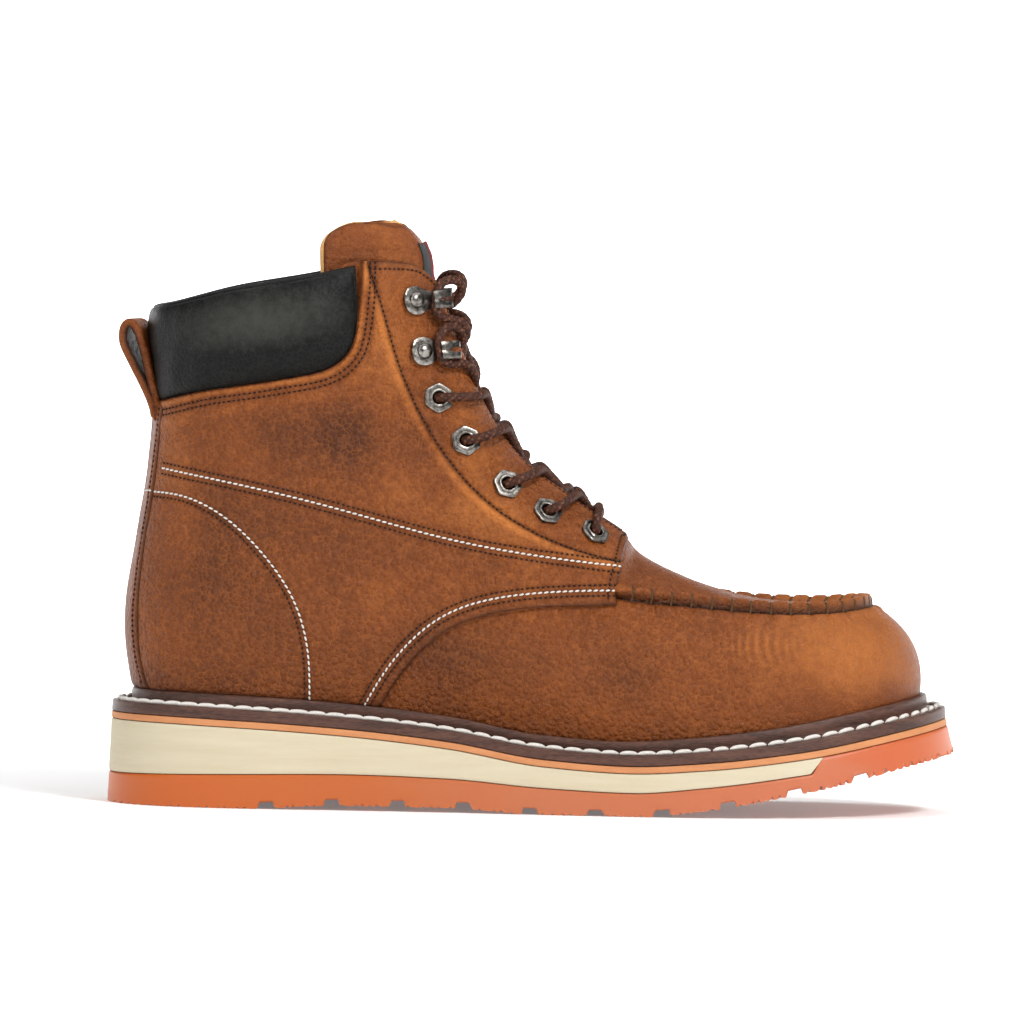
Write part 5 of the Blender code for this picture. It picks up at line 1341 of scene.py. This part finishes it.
def stitchesOn(panel, i, j, kind, slant=0.0):  # stitches through fractional places of a panel's grid
    path, normals = sampleGrid(panel["outer"], i, j), sampleGrid(panel["normal"], i, j)
    return stitchesAlong(path, normals, slant=slant, **threads[kind])


def rowOnPanel(panel, line, off, kind, slant=0.0):  # stitches along a drawn seam moved sideways by off mm
    step = unit(np.gradient(line, axis=0))
    places = line + np.stack([-step[:, 1], step[:, 0]], axis=-1) * off
    i, j, inside = onPanel(panel, places)
    return stitchesOn(panel, i[inside], j[inside], kind, slant)


def edgeRows(panel, look):  # rows at a set distance inside the throat's edge and the front edge
    cols, rows = panel["fromTop"].shape
    places = np.arange(cols)[panel["seen"][:, -1, 0] > -61]
    below = (panel["fromTop"] > look["edgeRow"]).sum(axis=1)[places] - 0.5
    top = (places[:-4] * 1.0, below[:-4])
    level = np.arange(4, rows - 5)
    front = ((panel["fromFront"] > look["frontRow"]).sum(axis=0)[level] - 0.5, level * 1.0)
    return [stitchesOn(panel, i, j, "dark") for i, j in (top, front)]


def makeStitches(stay):
    # each row of both panels and of the heel strip, as a seam and how far beside it the row runs
    look = quarter
    (bindLow, bindHigh), (vampLow, vampMiddle, vampHigh) = look["bindRows"], look["vampRows"]
    whiteRows = [("middle", 0.0), ("counter", 0.0), ("vamp", vampMiddle)]
    darkRows = [
        ("middle", -look["rowGap"]), ("middle", look["rowGap"]), ("counter", -look["counterGap"]), ("eyestay", 0.35),
        ("vamp", vampLow), ("vamp", vampHigh), ("pad", -bindLow), ("pad", -bindHigh),
    ]
    white, dark = [], []
    for side, panel in panels.items():
        white += [rowOnPanel(panel, seams[name], off, "white", 0.3 * side) for name, off in whiteRows]
        dark += [rowOnPanel(panel, seams[name], off, "dark") for name, off in darkRows]
        dark += edgeRows(panel, look)
    cols, rows = stay["outer"].shape[:2]
    level = np.arange(3, rows - 4) * 1.0
    run, row = stay["across"], backstay["row"]
    # one row near each edge of the heel strip, and a white row across it
    for inside in ((run > row).argmax(axis=0), cols - 1 - (run[::-1] < run[-1:] - row).argmax(axis=0)):
        dark.append(stitchesOn(stay, inside[3:rows - 4] * 1.0, level, "dark"))
    across = np.arange(1, cols - 1)
    height = (stay["outer"][..., 2] < backstay["crossRow"]).sum(axis=1)[across] * 1.0
    white.append(stitchesOn(stay, across * 1.0, height, "white"))
    for piece in (stitchPiece("whiteStitches", white, whiteThread), stitchPiece("darkStitches", dark, darkThread)):
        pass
    print("stitches:", sum(map(len, white)), "white,", sum(map(len, dark)), "dark")


makeCollarPad()
heelStrip = makeBackstay()
makePullLoop()
makeTongue()
makeStitches(heelStrip)
print("upper dressed")


# Eyelets, hooks and lace

metal = dict(across=9.9, hole=4.7, gap=0.25, around=48)
eyeletProfile = columns(  # share of the way from the hole's edge to the rim, and height in mm, below zero down the barrel
    ("out", "height"),
    (1.0, -0.35), (1.0, 0.5), (0.98, 0.72), (0.92, 0.84), (0.8, 0.88), (0.56, 0.84), (0.44, 0.84), (0.38, 0.98),
    (0.28, 1.16), (0.17, 1.22), (0.07, 1.12), (0.01, 0.85), (0.0, 0.4), (0.0, -1.6), (0.1, -1.6), (0.1, -0.35),
)
hookStrip = columns(  # along the plate and up its curl: forward, away from the leather, half width, half of the slot
    ("forward", "away", "half", "slot"),
    (-5.0, 0.0, 1.3, -0.1), (-4.5, 0.0, 2.8, -0.1), (-3.4, 0.0, 4.2, -0.1), (-1.7, 0.0, 4.9, -0.1), (0.0, 0.0, 5.1, -0.1),
    (1.9, 0.0, 4.7, -0.1), (3.8, 0.0, 3.7, -0.1), (5.8, 0.0, 3.1, -0.1), (8.0, 0.1, 3.0, -0.1), (10.2, 0.4, 3.1, 0.3),
    (11.9, 1.2, 3.2, 0.8), (12.7, 2.7, 3.2, 0.9), (12.5, 4.5, 3.2, 0.9), (11.5, 5.8, 3.2, 0.9), (9.9, 6.1, 3.2, 0.9),
    (7.8, 6.1, 3.2, 0.6), (6.0, 6.0, 3.2, -0.1), (4.6, 5.8, 3.1, -0.1),
)
hookLook = dict(thick=1.05, lift=0.3, stations=80, lean=0.05, droop=0.65, rivetSides=28)
hookSection = np.array([  # share of the way across and share of the thickness: flat faces and rounded edges
    (0.0, 0.12), (0.0, 0.88), (0.06, 1.0), (0.5, 1.0), (0.9, 1.0),
    (1.0, 0.85), (1.0, 0.15), (0.9, 0.0), (0.5, 0.0), (0.06, 0.0),
])
rivet = columns(
    ("radius", "height"), (2.9, 0.6), (2.95, 1.25), (2.75, 1.75), (2.3, 2.2), (1.6, 2.55), (0.8, 2.72), (0.02, 2.78),
)


def laceFrames():
    # for each eyelet and hook: its place on the panel, the normal, the way forward to the throat and the way up along it
    frames = {}
    turns = np.linspace(83.5, 106.5, 93)
    for side, panel in panels.items():
        i, j, _ = onPanel(panel, np.array(eyelets + hooks))
        points, normals = sampleGrid(panel["seen"], i, j), unit(sampleGrid(panel["normal"], i, j))
        rim = skin(side * turns, 1.0)
        nearest = np.linalg.norm(points[:, None] - rim[None], axis=-1).argmin(axis=1)
        ahead = rim[nearest] - points
        ahead = unit(ahead - (ahead * normals).sum(-1, keepdims=True) * normals)
        up = np.cross(normals, ahead)
        up *= np.sign(up[:, 2:])
        frames[side] = dict(point=points, normal=normals, ahead=ahead, up=up, edgeTurn=turns[nearest])
    return frames


def sideStep(at, k, dx, dz, away=0.0):
    # place that the side view shows dx, dz off an eyelet or hook, that far away from its tangent plane
    a, u, out = at["ahead"][k], at["up"][k], at["normal"][k] * away
    share = np.linalg.solve(np.array([[a[0], u[0]], [a[2], u[2]]]), np.array([dx - out[0], dz - out[2]]))
    return at["point"][k] + a * share[0] + u * share[1] + out


def makeEyelets(frames):
    # profile turned round each hole, its radius stretched to a worn hexagon at the rim
    look, shape = metal, eyeletProfile
    angle = np.arange(look["around"]) * math.tau / look["around"]
    turn = angle % (math.tau / 6) - math.tau / 12
    # six sides with worn corners
    rim = look["across"] / 2 / np.cos(turn) * (1 - 0.045 * smooth(0.36, 0.52, np.abs(turn)))
    hole = look["hole"] / 2
    radius = hole + (rim[None] - hole) * shape["out"][:, None]
    sections, quads = [], []
    rows, cols = radius.shape
    out, low = shape["out"], np.where(shape["height"] < 0.2, 0.8, 0.0)
    pits = 0.7 * hump(out - 0.46, 0.1) + 0.35 * hump(out - 0.75, 0.2) + low
    for side, at in frames.items():
        for k in range(len(eyelets)):
            base = at["point"][k] + at["normal"][k] * look["gap"]
            ring = np.cos(angle)[None, :, None] * at["ahead"][k] + np.sin(angle)[None, :, None] * at["up"][k]
            sections.append(base + ring * radius[..., None] + at["normal"][k] * shape["height"][:, None, None])
            quads.append(gridQuads(rows, cols, (len(sections) - 1) * rows * cols, loopRows=True, loopCols=True))
    quads = [q if side < 0 else q[:, ::-1] for q, side in zip(quads, np.repeat(list(frames), len(eyelets)))]
    piece = buildPiece("hexEyelets", np.concatenate(sections).reshape(-1, 3), np.concatenate(quads), [nickel],
                       marks={"seam": np.tile(np.repeat(pits, cols), len(sections))}, sharp=35)
    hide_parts(*[f"eyelet_{side}_{k + 1}" for side in ("lateral", "medial") for k in range(len(eyelets))])


def hookParts(base, ahead, up, normal):
    # two halves of the strip beside the slot, each a loop section of flat faces and rounded edges, then the rivet's dome
    look, strip, section = hookLook, hookStrip, hookSection
    run = along(np.stack([strip["forward"], strip["away"]], axis=-1))
    at = np.linspace(0, run[-1], look["stations"])
    forward, away, half, slot = (taut(run, strip[name], at) for name in ("forward", "away", "half", "slot"))
    step = unit(np.stack([np.gradient(forward), np.gradient(away)], axis=-1))
    square = np.stack([-step[:, 1], step[:, 0]], axis=-1)
    thick = look["thick"]
    outway = normal - look["droop"] * normal[2] / up[2] * up
    parts = []
    for sign in (-1, 1):
        across = slot[:, None] + (half - slot)[:, None] * section[None, :, 0]
        high = section[None, :, 1] * thick
        f, h = forward[:, None] + square[:, :1] * high, away[:, None] + square[:, 1:] * high
        points = base + f[..., None] * ahead + h[..., None] * outway + (sign * across)[..., None] * up
        rows, cols = points.shape[:2]
        dark = np.broadcast_to(np.where(section[:, 1] < 0.5, 0.6, 0.0), (rows, cols))
        parts.append((points, gridQuads(rows, cols, loopCols=True), flatEnds(rows, cols), dark, sign))
    angle = np.arange(look["rivetSides"]) * math.tau / look["rivetSides"]
    ring = np.cos(angle)[None, :, None] * ahead + np.sin(angle)[None, :, None] * up
    points = base + ring * rivet["radius"][:, None, None] + rivet["height"][:, None, None] * normal
    rows, cols = points.shape[:2]
    dark = np.broadcast_to(np.where(rivet["height"] < 1.3, 0.8, 0.0)[:, None], (rows, cols))
    parts.append((points, gridQuads(rows, cols, loopCols=True), flatEnds(rows, cols), dark, 1))
    return parts


def makeHooks(frames):
    # each hook's arm is turned level in the side view; mirrored parts have their faces turned round
    points, quads, odd, dark, count = [], [], [], [], 0
    for side, at in frames.items():
        for k in (len(eyelets), len(eyelets) + 1):
            base = at["point"][k] + at["normal"][k] * hookLook["lift"]
            level = unit(sideStep(at, k, 1.0, hookLook["lean"]) - at["point"][k])
            up = np.cross(at["normal"][k], level)
            up = up * np.sign(up[2])
            handed = np.sign((np.cross(level, up) * at["normal"][k]).sum())
            for p, q, o, d, sign in hookParts(base, level, up, at["normal"][k]):
                flip = handed * sign < 0
                points.append(p.reshape(-1, 3))
                quads.append((q[:, ::-1] if flip else q) + count)
                odd += [[v + count for v in (face[::-1] if flip else face)] for face in o]
                dark.append(d.ravel())
                count += len(points[-1])
    piece = buildPiece("laceHooks", np.concatenate(points), np.concatenate(quads), [nickel], odd,
                       marks={"seam": np.concatenate(dark)}, sharp=40)
    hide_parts(*[f"hook_{side}_{k}" for side in ("lateral", "medial") for k in (1, 2)])


lace = dict(
    radius=1.72, sides=20, step=0.46, yarns=8, pitch=2.3, relief=0.3, over=2.3, under=-0.3,
    tucked=4.5, toLower=4.75, toUpper=5.25, joined=5.95,  # levels, from 0 at the first eyelets to 6 at the top hooks
)
laceRoutes = [  # from each eyelet, in the side view: over the panel, over the throat's edge, and down behind it
    [(0.7, 3.4), (1.3, 7.0), (1.5, 7.6)], [(3.2, 1.8), (8.4, 4.7), (13.0, 3.4), (15.6, -0.6)],
    [(3.8, 1.8), (9.4, 4.0), (15.2, 2.2), (19.2, -2.2)], [(4.8, 1.2), (11.4, 3.5), (16.6, 0.2), (19.1, -4.9)],
    [(6.3, 0.6), (13.4, 0.8), (17.5, -0.9), (18.6, -5.6)],
]
hookRoutes = [  # lower hook, then upper: forward, up and away from the leather, from the lower leg to the upper one
    [(18.6, -10.8, -3.0), (18.1, -8.0, -0.8), (16.4, -5.4, 1.0), (13.0, -4.0, 2.4), (9.4, -4.3, 3.0), (6.8, -2.6, 3.3),
     (5.9, 1.0, 3.4), (5.6, 4.8, 3.4), (6.7, 7.7, 3.2), (9.4, 9.0, 2.4), (12.6, 7.8, 0.4), (14.0, 5.0, -2.0)],
    [(15.2, -16.2, -3.0), (17.0, -14.3, -1.4), (18.5, -11.6, 0.2), (17.7, -8.9, 1.4), (14.6, -6.9, 2.4),
     (10.4, -6.0, 3.0), (7.8, -3.8, 3.3), (7.5, 0.0, 3.4), (8.0, 4.0, 3.4), (9.6, 6.5, 3.2),
     (12.6, 7.5, 2.6), (15.6, 6.5, 1.4), (16.6, 4.0, 0.2), (15.4, 1.2, -1.4), (13.2, -1.0, -3.4)],
]
innerLay = (0.2, 1.5)  # the inner side's turns round the hooks lie a little higher


def overTongue(edgeTurn, share, rise=0.0):
    # place of a lace on the tongue, share -1 to 1 between the throat's edges
    ends = np.array([lifted(np.array(side * edgeTurn), np.array(1.0), np.array(-2.7)) for side in (-1, 1)])
    above = np.array([lifted(np.array(side * edgeTurn), np.array(1.0), np.array(1.0)) for side in (-1, 1)])
    normal = unit((above - ends).sum(axis=0))
    return ends.mean(axis=0) + (ends[1] - ends[0]) / 2 * share + normal * (0.3 + lace["radius"] + rise)


def laceStops(frames):
    # each strand comes out of an eyelet, over the throat's edge, down across the tongue and under the other edge
    look = lace
    levels = (frames[-1]["edgeTurn"] + frames[1]["edgeTurn"]) / 2
    top = metal["gap"] + 1.4 + look["radius"]
    rimTurns = np.linspace(82.5, 106.8, 200)

    def levelTurn(level):
        return np.interp(level, np.arange(len(levels) + 1), [*levels, 81.6])

    def fromHole(side, k):
        at = frames[side]
        p, n = at["point"][k], at["normal"][k]
        rim = skin(side * rimTurns, 1.0)
        places = np.array(laceRoutes[k]) + np.array(eyelets[k])
        over = [sideStep(at, k, *place, away) for place, away in zip(laceRoutes[k], (top, 2.2))]
        stops = [p - n * 3.2, p + n * 0.4, *over]
        for place, inward in zip(places[2:], (0.4, 3.2)):
            near = np.linalg.norm(rim[:, [0, 2]] - place, axis=-1).argmin()
            stops.append(np.array([place[0], rim[near, 1] - side * inward, place[1]]))
        return stops, rimTurns[near]

    def tuck(side, level):
        turn = levelTurn(level)
        return [overTongue(turn, side * share, rise) for share, rise in ((0.75, -0.3), (0.98, -1.8), (1.14, -2.8))]

    def hookWrap(side, k):
        at, hook = frames[side], len(eyelets) + k
        ahead, up = innerLay if side > 0 else (0.0, 0.0)
        return [sideStep(at, hook, x + ahead, z + up, away) for x, z, away in hookRoutes[k]]

    left, right = fromHole(-1, 0)[0], fromHole(1, 0)[0]
    strands = [[*left, overTongue(levels[0] - 0.4, 0.0, 1.2), *right[::-1]]]
    for k in range(1, len(eyelets)):
        for side in (-1, 1):
            start, t = fromHole(side, k)
            below = np.interp(-t, -levels, np.arange(len(levels)))
            lift = look["over"] if (side < 0) == (k % 2 == 0) else look["under"]
            across = ((0.08, side * 0.5, lift * 0.6), (0.16, 0.0, lift), (0.24, -side * 0.45, 0.0))
            over = [overTongue(levelTurn(below - down), share, rise) for down, share, rise in across]
            strands.append([*start, *over, *tuck(-side, below - 0.34)])
    ways = []
    for side in (-1, 1):  # from under one edge, round the other side's lower hook and back to this side's upper hook
        lift = look["over"] if side < 0 else look["under"]
        other = look["over"] + look["under"] - lift
        ways.append([*tuck(side, look["tucked"])[::-1], overTongue(levelTurn(look["toLower"]), 0.0, lift),
                     *hookWrap(-side, 0), overTongue(levelTurn(look["toUpper"]), 0.0, other), *hookWrap(side, 1)])
    # one lace joins the two upper hooks
    strands.append([*ways[0], overTongue(levelTurn(look["joined"]), 0.0, 0.2), *ways[1][::-1]])
    return strands


def carriedRings(path, radius, sides):
    # rings whose first direction is carried along the path with the least twist
    ahead = unit(np.gradient(path, axis=0))
    first = np.cross(ahead[0], [0.3, 0.2, 0.93])
    frames = []
    for step in ahead:
        first = first - (first @ step) * step
        first = first / np.linalg.norm(first)
        frames.append(first)
    first = np.array(frames)
    second = np.cross(ahead, first)
    angle = np.arange(sides) * math.tau / sides
    ring = np.cos(angle)[None, :, None] * first[:, None] + np.sin(angle)[None, :, None] * second[:, None]
    return path[:, None] + ring * radius[..., None]


def makeLace(frames):
    # tubes on battens through the stops; the radius dips between yarns by sqrt |sin(p / 2) sin(q / 2)| of two spirals
    look = lace
    points, quads, odd, shade, count, length = [], [], [], [], 0, 0.0
    for stops in laceStops(frames):
        path = drawn(stops, look["step"])
        run = along(path)
        angle = np.arange(look["sides"]) * math.tau / look["sides"]
        p = look["yarns"] / 2 * angle[None] + run[:, None] * math.tau / look["pitch"]
        q = look["yarns"] / 2 * angle[None] - run[:, None] * math.tau / look["pitch"]
        weave = np.sqrt(np.abs(np.sin(p / 2) * np.sin(q / 2)))
        light = np.where(np.floor(p / math.tau) % 2 == 0, 0.1, 0.0)
        rings = carriedRings(path, look["radius"] - look["relief"] * (1 - weave), look["sides"])
        points.append(rings.reshape(-1, 3))
        faces, ends = tubeFaces(len(path), look["sides"])
        quads.append(faces + count)
        odd += [[v + count for v in face] for face in ends]
        # the strand mark: painted shade between yarns, lighter on every other yarn
        shade.append((0.15 + 0.5 * weave + light).ravel())
        count += len(points[-1])
        length += run[-1]
    piece = buildPiece("braidedLace", np.concatenate(points), np.concatenate(quads), [braid], odd,
                       marks={"strand": np.concatenate(shade)})
    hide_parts("lace_bar", *[f"lace_crossing_{k}" for k in range(1, 7)])
    print("lace shown:", round(length), "mm")


frames = laceFrames()
makeEyelets(frames)
makeHooks(frames)
makeLace(frames)
print("laced")


# Stage

view = dict(aim=(-0.0084, 0.0, 0.1059), away=4.0, eye=0.246, wide=0.3682, roll=0.9)
stage = dict(flat=6.0, rim=1.0, high=1.5, around=72)
floorGlow = [  # by the distance, by Y and by the distance again: from and to in m, and the strength at each
    (0.16, 0.45, 0.16, 0.5), (0.2, 1.0, 0.0, 0.45), (1.0, 2.2, 0.0, 0.65),
]
softboxes = dict(  # place, aim and size in m, power in W
    keyBox=((0.8, -1.3, 1.5), (0.02, 0, 0.08), (0.45, 0.4), 31),
    fillBox=((-1.3, -1.3, 1.2), (0, 0, 0.1), (0.5, 0.5), 6),
    topBox=((0.0, 0.15, 1.6), (0, 0, 0.1), (2.2, 1.6), 18),
)
skyStrength = 0.14


def makeStage():
    # round floor: flat to its edge, then a quarter wave up to a low rim, carried round the upright
    look = stage
    t = np.linspace(0, 1, 12)
    run = np.concatenate([np.linspace(0.01, look["flat"], 24), look["flat"] + look["rim"] * np.sin(t[1:] * math.pi / 2)])
    lift = np.concatenate([np.zeros(24), look["high"] * (1 - np.cos(t[1:] * math.pi / 2))])
    angle = np.arange(look["around"]) * math.tau / look["around"]
    points = np.stack([np.cos(angle)[:, None] * run, np.sin(angle)[:, None] * run, lift + 0 * angle[:, None]], axis=-1)
    mesh = bpy.data.meshes.new("studioFloor")
    faces = gridQuads(*points.shape[:2], loopRows=True)[:, ::-1]
    mesh.from_pydata(points.reshape(-1, 3).tolist(), [], faces.tolist())
    mesh.shade_smooth()
    floor = bpy.data.objects.new("studioFloor", mesh)
    bpy.context.scene.collection.objects.link(floor)
    material, tree, shader = newFinish("paleFloor")
    shader.inputs["Base Color"].default_value = (0.93, 0.93, 0.93, 1)
    shader.inputs["Roughness"].default_value = 0.8
    shader.inputs["Emission Color"].default_value = (1, 1, 1, 1)
    place = addNode(tree, "TexCoord").outputs["Object"]
    far = addNode(tree, "VectorMath", {"operation": "LENGTH"}, n0=place).outputs["Value"]
    behind = addNode(tree, "SeparateXYZ", None, Vector=place).outputs[1]
    near, back, edge = (
        addNode(tree, "MapRange", None, n0=source, n1=a, n2=b, n3=c, n4=d).outputs[0]
        for source, (a, b, c, d) in zip((far, behind, far), floorGlow)
    )
    tree.links.new(mathNode(tree, "ADD", mathNode(tree, "ADD", near, back), edge), shader.inputs["Emission Strength"])
    mesh.materials.append(material)


def addSoftbox(name, place, aim, size, power):  # rectangular lamp that faces its aim
    light = bpy.data.lights.new(name, "AREA")
    light.shape, light.size, light.size_y = "RECTANGLE", size[0], size[1]
    light.energy = power
    lamp = bpy.data.objects.new(name, light)
    bpy.context.scene.collection.objects.link(lamp)
    lamp.location = place
    lamp.rotation_euler = (Vector(aim) - Vector(place)).to_track_quat("-Z", "Y").to_euler()


def makeCamera():
    # above the boot's middle and far off, a little to the heel's side, rolled by a degree
    data = bpy.data.cameras.new("photoCamera")
    camera = bpy.data.objects.new("photoCamera", data)
    bpy.context.scene.collection.objects.link(camera)
    place = Vector((view["aim"][0], -view["away"], view["eye"]))
    toAim = Vector(view["aim"]) - place
    turn = toAim.to_track_quat("-Z", "Y").to_matrix().to_4x4() @ Matrix.Rotation(math.radians(view["roll"]), 4, "Z")
    camera.matrix_world = Matrix.Translation(place) @ turn
    data.sensor_width = 36.0
    data.lens = 36.0 * toAim.length / view["wide"]
    bpy.context.scene.camera = camera


def lightStage():  # an even sky, a key from the toe's side, a fill from the heel's and a wide box above
    world = bpy.data.worlds.new("studio")
    world.use_nodes = True
    world.node_tree.nodes["Background"].inputs[0].default_value = (1.0, 1.0, 1.0, 1)
    world.node_tree.nodes["Background"].inputs[1].default_value = skyStrength
    scene = bpy.context.scene
    scene.world = world
    for name, box in softboxes.items():
        addSoftbox(name, *box)
    scene.view_settings.view_transform = "Standard"


makeStage()
makeCamera()
lightStage()
